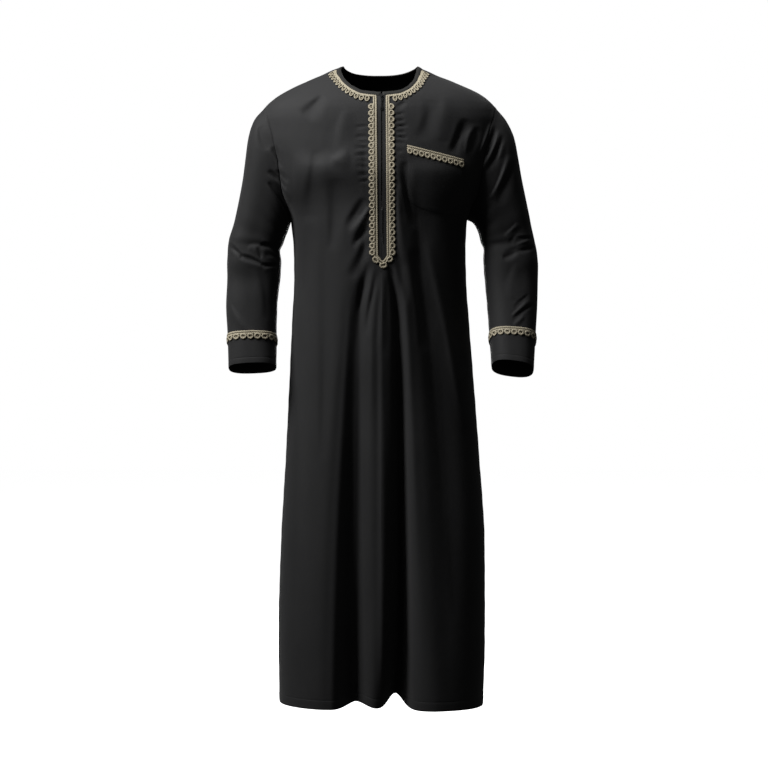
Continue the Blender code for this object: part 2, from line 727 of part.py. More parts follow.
def neck_stations(braid, side):
    """Stations from near the shoulder seam to the corner."""
    drop = BAND_WIDTH + BRAID_NECK_GAP
    far = side * NECK_BRAID_END
    near = share_at(side * (BRAID_HALF_GAP + BRAID_CORNER), braid_corner(side).z)
    samples = 60
    shares = [far + (near - far) * k / samples for k in range(samples + 1)]
    inner = even_points([below_neck(share, -1, drop) for share in shares], NECK_LOOPS)
    outer = even_points([below_neck(share, -1, drop + BRAID_WIDTH) for share in shares], NECK_LOOPS)
    return [braid.station(a, b - a) for a, b in zip(inner, outer)]


def slit_stations(braid, side):
    """Stations down one side of the slit, from one braid's width below the corner to the point."""
    top = braid_corner(side).z - BRAID_WIDTH
    low_x = BRAID_LOW_X[0] if side < 0 else BRAID_LOW_X[1]
    stations = []
    for k in range(PLACKET_LOOPS):
        share = k / PLACKET_LOOPS
        z = top + (BRAID_LOW_Z - top) * share
        x = side * BRAID_HALF_GAP + (low_x - side * BRAID_HALF_GAP) * share
        stations.append(braid.station(front_at(x, z), Vector((side, 0.0, 0.0))))
    return stations


def front_braid(collection, tree):
    """One braid: round the front neck, down one side of the slit, to a point, and up again."""
    braid = Braid(tree)
    down = slit_stations(braid, -1)
    up = slit_stations(braid, 1)[::-1]
    point = []
    for x, z, degrees, cusp in POINT_ROWS:
        reach = Vector((math.cos(math.radians(degrees)), 0.0, math.sin(math.radians(degrees))))
        point.append(braid.station(front_at(x, z), reach, cusp))
    first = neck_stations(braid, -1)
    last = neck_stations(braid, 1)[::-1]
    braid.run(first)
    braid.corner(first[-1], down[0], braid_corner(-1))
    braid.run(down + point[:1])
    braid.run(point, RING_WIDTH)
    braid.run(point[-1:] + up)
    braid.corner(up[-1], last[0], braid_corner(1))
    braid.run(last)
    braid.build("braid_front", collection)


def cuff_braid(name, collection, side):
    """Braid round a sleeve; its loops hang towards the cuff, one to each facet of the sleeve."""
    braid = Braid(surface_of(sleeve_grid(side), closed=True))
    stations = []
    for k in range(SLEEVE_SIDES):
        angle = side * 2 * math.pi * k / SLEEVE_SIDES
        top = sleeve_point(side, CUFF_BRAID_STEP, angle)
        stations.append(braid.station(top, sleeve_point(side, CUFF_BRAID_STEP + 0.5, angle) - top))
    braid.run(stations + stations[:1])
    braid.build(name, collection)


def pocket(collection, tree):
    """Flat patch on the front, and the braid along its mouth."""
    grid = [[tree.ray_cast(spot, BACKWARDS)[0] for spot in line] for line in pocket_spots()]
    lift = POCKET_LIFT + TRIM_CLOTH
    build_wall("pocket_patch", "cloth", collection, grid, lift=lift, thick=TRIM_CLOTH)
    normals = grid_normals(grid, False)
    outer = [[point + normal * lift for point, normal in zip(*pair)] for pair in zip(grid, normals)]
    braid = Braid(surface_of(outer))
    mouth = even_points(outer[-1], POCKET_LOOPS)
    down = Vector((POCKET_SLOPE, 0.0, -1.0))
    braid.run([braid.station(point, down) for point in mouth])
    braid.build("braid_pocket", collection)


def zip_tapes(collection, tree):
    inside = -(CLOTH + TAPE_DEPTH)
    low = SLIT_Z - TAPE_BELOW
    for name, side in (("zip_tape_right", -1), ("zip_tape_left", 1)):
        grid = []
        for k in range(TAPE_ROWS + 1):
            z = low + (TAPE_TOP_Z - low) * k / TAPE_ROWS
            spots = sorted(side * x for x in TAPE_EDGE_X)
            line = [tree.ray_cast(Vector((x, AHEAD_Y, z)), BACKWARDS)[0] for x in spots]
            grid.append(line)
        build_wall(name, "tape", collection, grid, lift=inside, thick=TRIM_CLOTH)


def slider_frame():
    """Point of the cloth under the slider, the direction down the cloth, and the outward one."""
    point = front_at(0.0, SLIDER_Z)
    down = (front_at(0.0, SLIDER_Z - 6.0) - front_at(0.0, SLIDER_Z + 4.0)).normalized()
    return point, down, down.cross(Vector((1.0, 0.0, 0.0)))


def zip_slider(collection):
    point, down, outward = slider_frame()
    bpy.ops.mesh.primitive_cube_add(size=1.0)
    slider = bpy.context.object
    slider.name = "zip_slider"
    slider.data.name = "zip_slider"
    for corner in slider.data.vertices:
        corner.co.x *= SLIDER_WIDTH * MM
        corner.co.y *= SLIDER_THICK * MM
        corner.co.z *= SLIDER_LENGTH * MM
    slider.location = (point + outward * (SLIDER_SEAT + SLIDER_THICK / 2)) * MM
    slider.rotation_euler.x = math.atan2(down.y, -down.z)
    rounding = slider.modifiers.new("rounding", "BEVEL")
    rounding.width = SLIDER_BEVEL * MM
    rounding.segments = 2
    slider.data.materials.append(material("zip_slider", "metal"))
    for owner in list(slider.users_collection):
        owner.objects.unlink(slider)
    collection.objects.link(slider)


def pull_axis():
    """Middle of the pull's hinge."""
    point, down, outward = slider_frame()
    return point + outward * (SLIDER_SEAT + SLIDER_THICK + PULL_PIN) + down * PULL_PIN_DROP


def zip_pull(collection):
    """Flat tab, narrow at the slider and round at its tip, lying against the cloth."""
    axis = pull_axis()
    tip = front_at(0.0, axis.z - PULL_DROP) - BACKWARDS * PULL_TIP_HEIGHT
    along = (tip - axis).normalized()
    outline = bpy.data.curves.new("zip_pull", "CURVE")
    outline.dimensions = "2D"
    outline.fill_mode = "BOTH"
    outline.extrude = PULL_THICK / 2 * MM
    half = PULL_WIDTH / 2
    round_steps = 10
    tip_radius = PULL_TIP_WIDTH / 2
    points = [(half, PULL_ABOVE), (-half, PULL_ABOVE), (-PULL_WAIST / 2, -PULL_WAIST_DROP)]
    for k in range(round_steps + 1):
        turn = math.pi + math.pi * k / round_steps
        points.append((tip_radius * math.cos(turn), -PULL_LENGTH + tip_radius + tip_radius * math.sin(turn)))
    points.append((PULL_WAIST / 2, -PULL_WAIST_DROP))
    spline = outline.splines.new("POLY")
    spline.points.add(len(points) - 1)
    for spot, (x, y) in zip(spline.points, points):
        spot.co = (x * MM, y * MM, 0.0, 1.0)
    spline.use_cyclic_u = True
    pull = bpy.data.objects.new("zip_pull", outline)
    pull.location = axis * MM
    pull.rotation_euler.x = math.atan2(-along.z, -along.y)
    outline.materials.append(material("zip_pull", "metal"))
    collection.objects.link(pull)


def main():
    clear_scene()
    collection = bpy.data.collections.new("thobe")
    bpy.context.scene.collection.children.link(collection)

    front = panel_grid(-1, FRONT_COLUMNS)
    back = panel_grid(1, BACK_COLUMNS)
    tree = surface_of(front)
    build_wall("front_panel", "cloth", collection, front,
               skip=slit_cells(front), seam_rows=seam_rows_of(front))
    build_wall("back_panel", "cloth", collection, [line[::-1] for line in back],
               seam_rows=seam_rows_of(back))
    for name, side in (("sleeve_right", -1), ("sleeve_left", 1)):
        build_wall(name, "cloth", collection, sleeve_grid(side), closed=True)
    build_wall("neck_band", "binding", collection, neck_band_grid())
    zip_tapes(collection, tree)
    zip_slider(collection)
    zip_pull(collection)
    pocket(collection, tree)
    front_braid(collection, tree)
    cuff_braid("braid_cuff_right", collection, -1)
    cuff_braid("braid_cuff_left", collection, 1)


main()
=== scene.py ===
# Looks of a long-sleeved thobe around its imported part. The tables and lengths are in millimetres.
# +X is the wearer's left, -Y the front and +Z up.
import math

import bmesh
import bpy
import numpy as np
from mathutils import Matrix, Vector
from mathutils.bvhtree import BVHTree


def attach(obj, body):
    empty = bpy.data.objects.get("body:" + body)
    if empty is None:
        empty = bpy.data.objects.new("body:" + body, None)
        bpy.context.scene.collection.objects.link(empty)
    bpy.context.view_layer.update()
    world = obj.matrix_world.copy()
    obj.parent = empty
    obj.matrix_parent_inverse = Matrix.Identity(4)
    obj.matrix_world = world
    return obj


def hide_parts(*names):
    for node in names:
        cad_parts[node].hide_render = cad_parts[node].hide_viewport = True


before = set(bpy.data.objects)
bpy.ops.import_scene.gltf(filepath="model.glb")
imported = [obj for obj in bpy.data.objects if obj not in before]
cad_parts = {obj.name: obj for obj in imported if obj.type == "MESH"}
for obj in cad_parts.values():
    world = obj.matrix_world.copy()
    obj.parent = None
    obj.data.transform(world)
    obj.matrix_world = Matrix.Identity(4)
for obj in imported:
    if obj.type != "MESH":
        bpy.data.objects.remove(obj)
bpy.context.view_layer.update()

MM = 0.001
AHEAD_Y = -400.0  # well in front of the robe
BACKWARDS = Vector((0.0, 1.0, 0.0))
INSIDE = np.array((0.0, 20.0, -300.0))  # a point well inside the body
RIGHTWARDS = np.array((1.0, 0.0, 0.0))  # in the view from the front

# Cloth
CLOTH = 1.2  # wall of the panels and sleeves
ROUNDNESS = 2.3  # exponent of the body's rounded sections
BODY_HALF_WIDTH = 210.0  # of a middling section
BODY_HALF_DEPTH = 122.0
PLEAT_SHAPE = 1.6  # exponent of a fold's cross-section
PLEAT_CALM = 4  # exponent with which the folds run out towards the side seams
CREASE_REACH = 45.0  # creases fade out this close to the side seams
CREASE_GAIN = 1.4
CREASE_STEEP = (-0.66, 0.75)  # towards the steep side, in x and z
CREASE_SOFT = 1.7  # width of the other side
CREASE_WAVER = (0.25, 5.0)  # share by which a crease's width varies, and how fast along it
CREASE_TAPER = 0.6  # exponent with which its depth runs out at the ends
SEAM_PUFF = 0.9  # swelling on each side of a seam
SEAM_LINE = 1.8
SEAM_SPREAD = 8.0
SEAM_WAVER = (0.45, 9.0, 23.0)  # share by which the swelling varies, and the two lengths
UNDERARM_FADE = 6.0  # length over which the underarm seam's swelling begins
ARMHOLE_FADE = 3.0  # steps over which a sleeve's own middle takes over from the body's
STITCH_DEPTH = 0.3  # of the groove that a line of stitches pulls
STITCH_WIDTH = 0.9
STITCH_PITCH = 5.5
STITCH_WAVER = 0.3
EDGE_FOLD = (0.15, 2.0, 3.0)  # height of a folded edge, its rounding and its fade at the stitches
SHARP = 55.0  # degrees at an edge of the cloth that isn't shaded smooth
CALM_SLIT = (9.0, 13.0, -456.0, 14.0)  # no creases here: x and its fade, z and its fade

# Resolution
PANEL_COLUMNS = 74  # on each side of the middle
PANEL_STEP = 7.4
ARMHOLE_ROWS = 100
SHOULDER_ROWS = 36
SLEEVE_STEP = 3.3
SECTION_STATIONS = 4001  # for measuring round the body
SLEEVE_STATIONS = 1201  # for measuring down a sleeve
NECK_STATIONS = 121
MOUTH_STATIONS = 61
AXIS_PROBE = 0.3  # steps up and down a sleeve for its direction
PANEL_SEAM_ROWS = (9.0, 6.0, 3.4, 1.4, 0.0)
SLEEVE_SEAM_ROWS = (0.0, 1.4, 3.4, 6.0, 9.5)

# Hem
HEM_Z = -1397.0
HEM_SLOPE = -0.015
HEM_RISE_ROWS = (  # where a deep fold lifts the hem: x, half width, rise
    (-50.0, 26.0, 12.0),
    (28.0, 20.0, 25.0),
)
HEM_FADE = 60.0
HEM_ROWS = (0.0, 1.0, 3.0, 8.0, 14.0, 17.6, 18.8, 19.5, 20.0, 20.5, 21.2, 22.4, 25.0)
HEM_STITCH = 20.0
CUFF_ROWS = (0.0, 1.0, 3.0, 6.5, 9.6, 10.9, 11.6, 12.0, 12.4, 13.1, 14.4, 17.0)
CUFF_STITCH = 12.0

# Armhole, an upright egg seen from the side
SHOULDER_Z = -88.0
ARMPIT_Z = -337.0
ARMHOLE_FRONT = 68.0
ARMHOLE_BACK = 78.0

# Slit and zip
SLIT_Z = -432.0
SLIT_HALF = 1.5
SLIDER_Z = -80.0
SLIDER_SEAT = 0.4
SLIDER_THICK = 2.4
SLIDER_ENDS = (4.0, 6.0)  # above and below its middle, where its slope is measured
PLATE_BEVEL = (0.3, 0.25)  # inwards and in height
METAL_SHARP = 40.0  # degrees
PULL_DROP = 31.6
PULL_PIN = 1.15
PULL_PIN_DROP = 2.0
PULL_TIP_HEIGHT = 1.9
PULL_HALF = 0.35  # of its flat thickness
PULL_BEVEL = 0.22
PULL_TIP = (-30.5, 3.5, 1.4)  # height of the round tip's middle, its radius and its hole's
TEETH_ENDS = (6.0, 1.0)  # below the slider's middle and above the slit's end
TEETH_SINK = 1.5  # behind the face of the cloth
TOOTH_PITCH = 2.1
TOOTH_RINGS = ((0.45, 0.35), (0.1, 0.55), (-0.9, 0.55), (-1.5, 0.45))  # reach over the middle, radius

# Neck binding
BAND_WIDTH = 11.5
BAND_RIPPLE = (0.12, 4.5, 13.0)  # height of its unevenness, and the two lengths
# Cross-section of the binding: distance from the neck edge and height over the cloth
BAND_SECTION = (
    (11.8, -0.3), (11.6, 0.5), (10.7, 0.85), (10.0, 0.55), (9.4, 0.9), (5.8, 1.15), (2.4, 0.9), (1.8, 0.55),
    (1.1, 0.85), (0.1, 0.5), (-0.3, -0.5), (0.1, -1.6), (1.6, -2.0), (5.4, -2.1), (9.9, -1.9), (11.1, -1.5),
)

# Braid: a flat cord, a round cord and a row of loops
BRAID_WIDTH = 19.6
FLAT_CORD = (2.9, 4.3, 1.7)  # distance from the straight edge, width and thickness
ROUND_CORD = (7.4, 3.4, 2.3)
LOOP = (13.2, 4.5, 0.35, 4.4)  # middle, reach outwards, reach along in pitches, and cord width
NECK_LOOP = (13.1, 6.5, 0.32, 3.0)
NECK_SQUEEZE = 0.62  # how much closer to the edge the straight cords run round the neck
POINT_LOOP = (11.0, 4.6, 0.30, 4.6)
LOOP_THICK = 2.3
LOOP_STATIONS = 26
LOOP_LIFT = 0.2  # of a loop's outer end over the cloth
LOOP_TILT = 0.55  # how much higher its inner end lies, on the round cord
CORD_LIFT = 0.15
CORD_END = 0.55  # share of a cord's size that is left at its ends
CORD_STEP = 0.3  # least distance between two stations of a straight cord
LOOP_TAPER = 0.22  # how much narrower a loop is towards its tip
SEED = (2.8, 1.2)  # cord that fills a loop's eye, coloured all over with the painted side shade of a cord: width and thickness
SEED_SHARE = (0.25, 0.2)  # of the loop's reach, outwards and along
SEED_STATIONS = 10
CORNER_STEPS = 6  # on each side of the turn from the neck to the slit
SEED_SHADE_TURN = 0.5  # place in the turn of the UV whose tone the seed cord takes all over: near a cord's side, mostly in its painted shade
CORNER_START = 14.5  # from the corner to the first loop round the neck
BRAID_NECK_GAP = 0.8
BRAID_HALF_GAP = {-1: 9.6, 1: 7.8}
BRAID_LOW_X = {-1: -6.8, 1: 10.2}
BRAID_LOW_Z = -425.0
NECK_LOOPS = 12
PLACKET_LOOPS = 23
NECK_BRAID_END = 0.9
POCKET_LOOPS = 10
CUFF_LOOPS = 22
PER_LOOP = 8  # stations on the way of one loop
POINT_ROWS = (  # x and z of the straight edge at the foot, and the loops' direction
    (-6.8, -425.0, 180.0),
    (1.5, -434.5, 222.0),
    (3.2, -434.0, 329.0),
    (10.2, -425.0, 360.0),
)

# Pocket patch
POCKET_RIGHT_X = 54.0
POCKET_LEFT_X = 176.0
POCKET_TOP_Z = -187.0
POCKET_SLOPE = -0.235
POCKET_DEPTH = 128.0
POCKET_ROUNDING = 14.0
POCKET_THICK = 0.7
POCKET_STITCH = 2.6
POCKET_GAP = 0.05
POCKET_CALMING = 3  # rounds of smoothing of the folds under it
POCKET_SWELL = (0.3, 2.2)  # height, and distance from the edge over which it rises
POCKET_GROOVE = (0.22, 0.8)  # depth and width of the groove at its stitches
POCKET_EDGE_ROWS = (0.0, 0.7, 1.8, POCKET_STITCH, 3.4, 5.0)
POCKET_CELLS = (40, 42)  # across and upwards

# Studio, in metres. Lamps: power in watts, size and place
LAMPS = (
    ("key", 149.0, 1.1, (-2.23, -1.26, 1.85)),
    ("above", 42.0, 1.2, (-0.6, -0.35, 2.45)),
    ("behind", 55.0, 0.8, (0.0, 3.1, -0.3)),
)
LAMP_TARGET = (0.0, 0.0, -0.6)
FLOOR_Z = -1.56
SKY_LIGHT = 0.05  # strength of the white surroundings as a light
CAMERA_SPOT = (0.00484, -4.2, -0.6985)
VIEW_WIDTH = 768 * 0.0022  # of what the camera shows at y = 0


FACES = {-1: "front", 1: "back"}


class Table:
    """Smooth curves through short rows of named columns. The first column is the key."""

    def __init__(self, names, rows):
        self.names = names.split()
        self.values = np.array(sorted(rows), float)
        self.keys = self.values[:, 0]
        steps = np.diff(self.values, axis=0) / np.diff(self.keys)[:, None]
        product = steps[:-1] * steps[1:]
        total = steps[:-1] + steps[1:]
        inner = np.where(product > 0.0, 2.0 * product / np.where(product > 0.0, total, 1.0), 0.0)
        self.slopes = np.vstack((steps[:1], inner, steps[-1:]))

    def at(self, key, name):
        column = self.names.index(name)
        values, slopes = self.values[:, column], self.slopes[:, column]
        key = np.clip(key, self.keys[0], self.keys[-1])
        i = np.clip(np.searchsorted(self.keys, key, side="right") - 1, 0, len(self.keys) - 2)
        span = self.keys[i + 1] - self.keys[i]
        t = (key - self.keys[i]) / span
        start = values[i] * (1 + 2 * t) * (1 - t) ** 2 + slopes[i] * span * t * (1 - t) ** 2
        end = values[i + 1] * (3 - 2 * t) * t ** 2 - slopes[i + 1] * span * (1 - t) * t ** 2
        return start + end


# Sections of the body: reach to the wearer's right and left, and to the front and back
BODY = Table("z right left front back", (
    (0, 84, 79, 0, 0),
    (-3, 93, 84, 4, 36),
    (-8, 106.5, 93, 10, 54),
    (-14, 119, 106, 17, 66),
    (-21, 133.5, 120.5, 24, 75),
    (-34, 164, 154, 43, 87),
    (-47, 192, 184, 58.5, 94.5),
    (-60, 216.5, 211.5, 72, 100),
    (-74, 237.5, 231.5, 85, 105),
    (-88, 253, 246, 94.5, 109),
    (-104, 261.5, 254.5, 102.5, 112.5),
    (-125, 266, 259.5, 109, 116),
    (-160, 265, 259, 116.5, 120),
    (-217, 252, 247, 128, 122),
    (-250, 242.5, 237, 131.5, 121),
    (-280, 232, 226, 130, 119),
    (-320, 207, 197, 127, 115),
    (-340, 199.5, 186.5, 125.7, 113.3),
    (-404, 193, 183.5, 124, 108),
    (-460, 191.8, 184.4, 123, 105),
    (-567, 196.7, 191.4, 122, 107),
    (-690, 202.2, 201, 122, 114),
    (-855, 210.1, 213.4, 127, 122),
    (-1050, 221, 225.5, 134, 130),
    (-1250, 226.4, 226.4, 141, 140),
    (-1400, 224.5, 222, 146, 147),
))

# Height of the neck edge along the front and back, by the share of the half width
NECK = Table("share front back", (
    (0, -68.5, -11),
    (0.175, -63.8, -10.8),
    (0.275, -54.8, -10.4),
    (0.4, -41, -9.6),
    (0.55, -27, -8),
    (0.7, -16, -5.6),
    (0.85, -7, -3),
    (1, 0, 0),
))

# Large folds, from the bottom of the slit to the hem: middle, half widths towards the wearer's right
# and left, and depth. A negative depth is a ridge.
FRONT_FOLDS = (
    # Trough on the wearer's right of the middle pleat
    ((-440, -28, 12, 9, 0),
     (-525, -49, 17, 14, 9),
     (-660, -58, 21, 22, 16),
     (-840, -61, 26, 34, 27),
     (-1050, -65, 27, 36, 39),
     (-1400, -63, 29, 28, 57)),
    # Deepest trough, on the wearer's left of the middle pleat
    ((-436, 18, 8, 8, 0),
     (-525, 30, 12, 11, 11),
     (-600, 36, 14, 12, 16),
     (-660, 39, 16, 13, 21),
     (-840, 42, 20, 16, 36),
     (-1050, 42, 22, 21, 56),
     (-1250, 40, 23, 27, 76),
     (-1400, 32, 24, 33, 90)),
    # Long trough from the inner end of the pocket braid, gentle on its outer side
    ((-205, 48, 9, 20, 0),
     (-250, 60, 10, 34, 5),
     (-330, 76, 13, 44, 8),
     (-400, 80, 13, 44, 9),
     (-450, 84, 14, 44, 11),
     (-560, 98, 17, 46, 14),
     (-700, 112, 20, 54, 14),
     (-900, 128, 26, 60, 12),
     (-1150, 138, 32, 60, 8),
     (-1400, 148, 34, 50, 4)),
    # Faint ridge that runs out towards the wearer's left
    ((-370, 94, 14, 14, 0),
     (-480, 112, 16, 16, -4),
     (-640, 146, 18, 18, -5),
     (-800, 178, 20, 20, 0)),
    # Valley between the two lower halves of the skirt
    ((-640, -8, 60, 60, 0),
     (-900, -8, 70, 70, 8),
     (-1150, -6, 78, 78, 18),
     (-1400, -5, 82, 82, 30)),
)
BACK_FOLDS = (
    ((-520, -72, 18, 18, 0),
     (-800, -88, 26, 20, 18),
     (-1400, -98, 36, 28, 44)),
    ((-380, -12, 14, 14, 0),
     (-620, -18, 16, 20, 14),
     (-1000, -26, 20, 26, 36),
     (-1400, -30, 28, 34, 62)),
    ((-460, 40, 14, 14, 0),
     (-760, 52, 22, 18, 20),
     (-1400, 60, 30, 28, 52)),
    ((-700, 104, 18, 18, 0),
     (-1000, 116, 22, 24, 16),
     (-1400, 126, 30, 32, 32)),
    # Shallow hollow between the shoulder blades
    ((-120, 2, 44, 44, 0),
     (-260, 0, 40, 40, 7),
     (-480, -3, 34, 34, 4),
     (-640, -4, 30, 30, 0)),
)
FOLDS = {face: [Table("z x right left depth", rows) for rows in folds]
         for face, folds in ((-1, FRONT_FOLDS), (1, BACK_FOLDS))}

# Creases seen from the front: start, end, sideways bow, half width and depth; a ridge is negative
FRONT_CREASES = (
    # skirt
    (-42, -437, -59, -1654, -2, 6, 3.5),
    (-64, -501, -104, -1654, -11, 8, -2.5),
    (31, -482, 43, -1654, 2, 6, 3.5),
    (-2, -518, 5, -1654, 0, 6, -2),
    (48, -437, 69, -1654, 6, 8, -3),
    (97, -392, 181, -797, 4, 9, -2),
    (65, -411, 91, -626, 2, 7, 3),
    (-119, -351, -128, -861, 2, 10, 1.6),
    (-152, -390, -164, -1076, -2, 11, -1.4),
    (-179, -583, -182, -1247, 0, 9, 1.2),
    (125, -583, 157, -1204, 2, 12, 1.6),
    (-21, -518, -27, -1161, 0, 6, -1.4),
    # below the slit
    (-10, -454, -34, -593, -2, 4.5, 2.2),
    (3, -458, -2, -626, 0, 4.5, -1.6),
    (16, -450, 35, -593, 2, 4.5, 2.6),
    (-25, -437, -51, -544, -2, 5, 2.4),
    (31, -424, 54, -518, 2, 5, 2),
    (-68, -379, -27, -321, -2, 4.5, -3.2),
    (-64, -401, -29, -358, -2, 4.5, 3.2),
    (-77, -360, -36, -302, -2, 6, 2.6),
    (-34, -386, -64, -471, 4, 8, 3.2),
    # chest
    (-128, -75, -169, -120, 2, 9, 3.2),
    (-141, -197, -156, -351, -2, 10, 1.8),
    (-100, -261, -109, -411, 2, 10, 2),
    (-77, -111, -87, -218, -4, 10, -1.5),
    (-192, -231, -38, -225, -6, 26, -4),
    (-197, -287, -42, -283, -6, 24, 1.4),
    (-109, -218, -70, -208, -4, 9, -2.4),
    (48, -240, 206, -244, -6, 26, -3),
    (46, -225, 69, -364, -4, 6, 4),
    (35, -274, 50, -437, -4, 6, -2.2),
    (184, -128, 152, -204, -4, 7, 3.6),
    (194, -148, 180, -202, -1, 4.5, -1.8),
    (207, -144, 188, -200, -2, 5, 2.4),
    (136, -73, 125, -176, 4, 12, -1.6),
    (103, -86, 84, -176, 4, 10, 1.6),
    # puckers along the sewn braid
    (-55, -147, -29, -146, 0, 2.2, 1.2),
    (-57, -169, -29, -170, 1, 2.4, 1.4),
    (-50, -180, -29, -181, 0, 2, 1.2),
    (-56, -191, -29, -193, -1, 2.4, 1.5),
    (-58, -210, -29, -209, 1, 2.6, 1.5),
    (-53, -221, -29, -222, 0, 2.2, 1.1),
    (-54, -233, -27, -235, 0, 2.4, 1.2),
    (-50, -250, -27, -252, 0, 2.4, 1.4),
    (-47, -266, -27, -263, 0, 2.4, 1.2),
    (31, -105, 50, -92, 0, 3.5, 1.6),
    (28, -120, 46, -118, 0, 2.2, 1.2),
    (28, -134, 48, -133, 0, 2.2, 1.4),
    (28, -147, 54, -144, 0, 2.4, 1.6),
    (28, -158, 50, -158, 0, 2.2, 1.6),
    (28, -169, 54, -171, 0, 2.4, 1.6),
    (28, -181, 50, -184, 0, 2.2, 1.4),
    (31, -199, 46, -201, 0, 2.2, 1.2),
    # head and upper part of the wearer's left sleeve
    (239, -130, 213, -198, 0, 3.2, -2.3),
    (247, -140, 222, -202, 0, 3.6, 1.5),
    (254, -150, 213, -236, 5, 3.4, -2.5),
    (262, -160, 226, -238, 5, 3.8, 1.5),
    (263, -176, 253, -212, 0, 2.8, -1.3),
    (278, -202, 237, -298, 2, 4.4, -2.6),
    (287, -214, 250, -312, 2, 5, 1.4),
    (298, -351, 267, -382, -2, 4, -1.5),
    (303, -366, 276, -393, -2, 4, 0.8),
    # head and armhole of the wearer's right sleeve
    (-238, -186, -218, -230, 2, 3.2, 3.2),
    (-244, -236, -206, -276, 3, 3.2, 3.2),
    (-245, -262, -203, -336, 4, 3.6, 3.6),
    (-230, -252, -201, -306, 3, 3.4, -1.6),
    (-228, -236, -202, -262, 2, 3, 2.4),
    (-266, -139, -247, -191, -4, 7, 2.2),
    # right elbow and forearm
    (-338, -392, -300, -425, 2, 3, 3),
    (-308, -420, -256, -441, 3, 3, 3.3),
    (-262, -440, -226, -436, -2, 3, 2.6),
    (-290, -402, -250, -408, 2, 5, -1.8),
    (-264, -396, -238, -398, 1, 3, 2),
    (-270, -402, -262, -426, 1, 3, 1.8),
    (-250, -414, -226, -424, 1, 3.2, 1.8),
    (-262, -446, -248, -560, 3, 7, 1.2),
    (-334, -520, -262, -598, -9, 5, -1.6),
    # left elbow and forearm
    (330, -378, 292, -383, 0, 2.8, 2),
    (338, -396, 292, -411, 1, 2.8, 2.6),
    (294, -411, 262, -426, 1, 3, 1.4),
    (322, -386, 292, -396, 0, 3.2, -1.6),
    (300, -402, 262, -426, -2, 5, 1.6),
    (318, -504, 286, -536, -2, 3, 1.1),
    (330, -524, 282, -560, -2, 3, 1.2),
    (322, -516, 280, -552, -1, 2.8, -1.6),
    (306, -552, 284, -572, 0, 2.8, -1.4),
    (293, -438, 282, -516, -4, 9, -1.2),
)

# Creases of the back, in the same columns
BACK_CREASES = (
    # shoulders and blades
    (-150, -105, -92, -196, 8, 12, 3),
    (142, -100, 86, -204, -8, 12, 3.4),
    (-208, -170, -152, -262, 6, 9, 4),
    (200, -162, 148, -250, -6, 9, 4),
    (-214, -236, -166, -320, 5, 8, 4),
    (206, -230, 158, -306, -4, 8, 4),
    (-60, -40, -26, -92, 3, 9, 1.6),
    (52, -38, 28, -84, -3, 9, 1.6),
    (-120, -262, 104, -270, -10, 30, -3.5),
    # waist and skirt
    (-150, -432, -42, -474, -10, 9, 2.5),
    (142, -446, 48, -492, 10, 9, 2.5),
    (-60, -330, -80, -900, 6, 13, 3.6),
    (32, -300, 46, -770, -8, 12, 3.2),
    (96, -430, 120, -1010, 6, 14, 3.8),
    (-124, -500, -138, -1110, -5, 13, 3.2),
    (0, -560, -10, -1260, 6, 11, 3),
    (152, -610, 168, -1310, -4, 13, 2.8),
    (-34, -640, -44, -1654, 0, 7, 2.6),
    (66, -760, 60, -1654, 2, 7, 2.8),
    (-176, -640, -184, -1290, 0, 10, 2),
    # sleeve heads
    (-246, -128, -218, -196, 2, 5, 3),
    (-262, -150, -232, -236, 3, 5, 3),
    (244, -134, 214, -204, -2, 5, 3),
    (268, -166, 232, -262, -3, 5.5, 3),
    # elbows and forearms
    (-338, -392, -262, -426, 8, 6, 4.6),
    (-338, -424, -250, -450, -6, 6, 4),
    (-328, -372, -280, -380, 4, 6, 3),
    (-322, -500, -264, -524, 5, 7, 2.8),
    (-300, -560, -250, -548, -4, 6, 2.2),
    (336, -398, 264, -428, -8, 6, 4.4),
    (332, -432, 252, -446, 6, 6, 3.6),
    (320, -486, 262, -520, -5, 7, 2.8),
    (318, -560, 258, -574, 4, 6, 2.4),
)

# Sections of the sleeves from the armhole to the cuff: the outer and inner point in front view,
# the section's middle from front to back, and half its depth
SLEEVE_NAMES = "step out_x out_z in_x in_z mid_y depth"
SLEEVE_RIGHT = Table(SLEEVE_NAMES, (
    (0, -253, -88, -200.5, -337, 5, 73),
    (1, -280.5, -120, -202, -343, 5, 73),
    (2, -293.3, -159.5, -203.5, -348.5, 5, 72),
    (3, -299.7, -205.6, -205.5, -355, 5, 71),
    (4, -304.8, -245.1, -208, -363, 5, 70),
    (5, -313.1, -291.2, -211.5, -372, 5, 68),
    (6, -323.1, -337.4, -216, -384, 4, 66),
    (7, -336.4, -384, -220.2, -401.2, 3, 64),
    (8, -340, -416.9, -221.8, -430.1, 0, 62),
    (9, -339.6, -459, -223.6, -465.6, -4, 59.5),
    (10, -341, -523.1, -229.3, -525.3, -12, 56),
    (11, -336.6, -593.5, -230.7, -592.4, -25, 53.5),
    (12, -333.3, -665.8, -230.3, -661.8, -41, 51.5),
))
SLEEVE_LEFT = Table(SLEEVE_NAMES, (
    (0, 246, -88, 188, -337, 5, 73),
    (1, 273, -120, 195, -339, 5, 73),
    (2, 291.1, -159.5, 200.5, -342.5, 5, 72),
    (3, 300.2, -205.6, 205, -348, 5, 71),
    (4, 307, -245.1, 209.5, -356.5, 5, 70),
    (5, 316.4, -291.2, 213.5, -367, 5, 68),
    (6, 326.1, -337.4, 217, -380, 4, 66),
    (7, 336.2, -386, 220, -397, 2, 64),
    (8, 343, -423.6, 223.8, -427, -4, 62),
    (9, 342.8, -459.3, 225.6, -459.3, -11, 59.5),
    (10, 340, -523.5, 230.1, -521.3, -23, 56),
    (11, 334.6, -594, 234.6, -587.4, -43, 53.5),
    (12, 328.4, -670.8, 238, -659.3, -69, 51.5),
))
SLEEVES = {-1: SLEEVE_RIGHT, 1: SLEEVE_LEFT}
LAST_STEP = 12
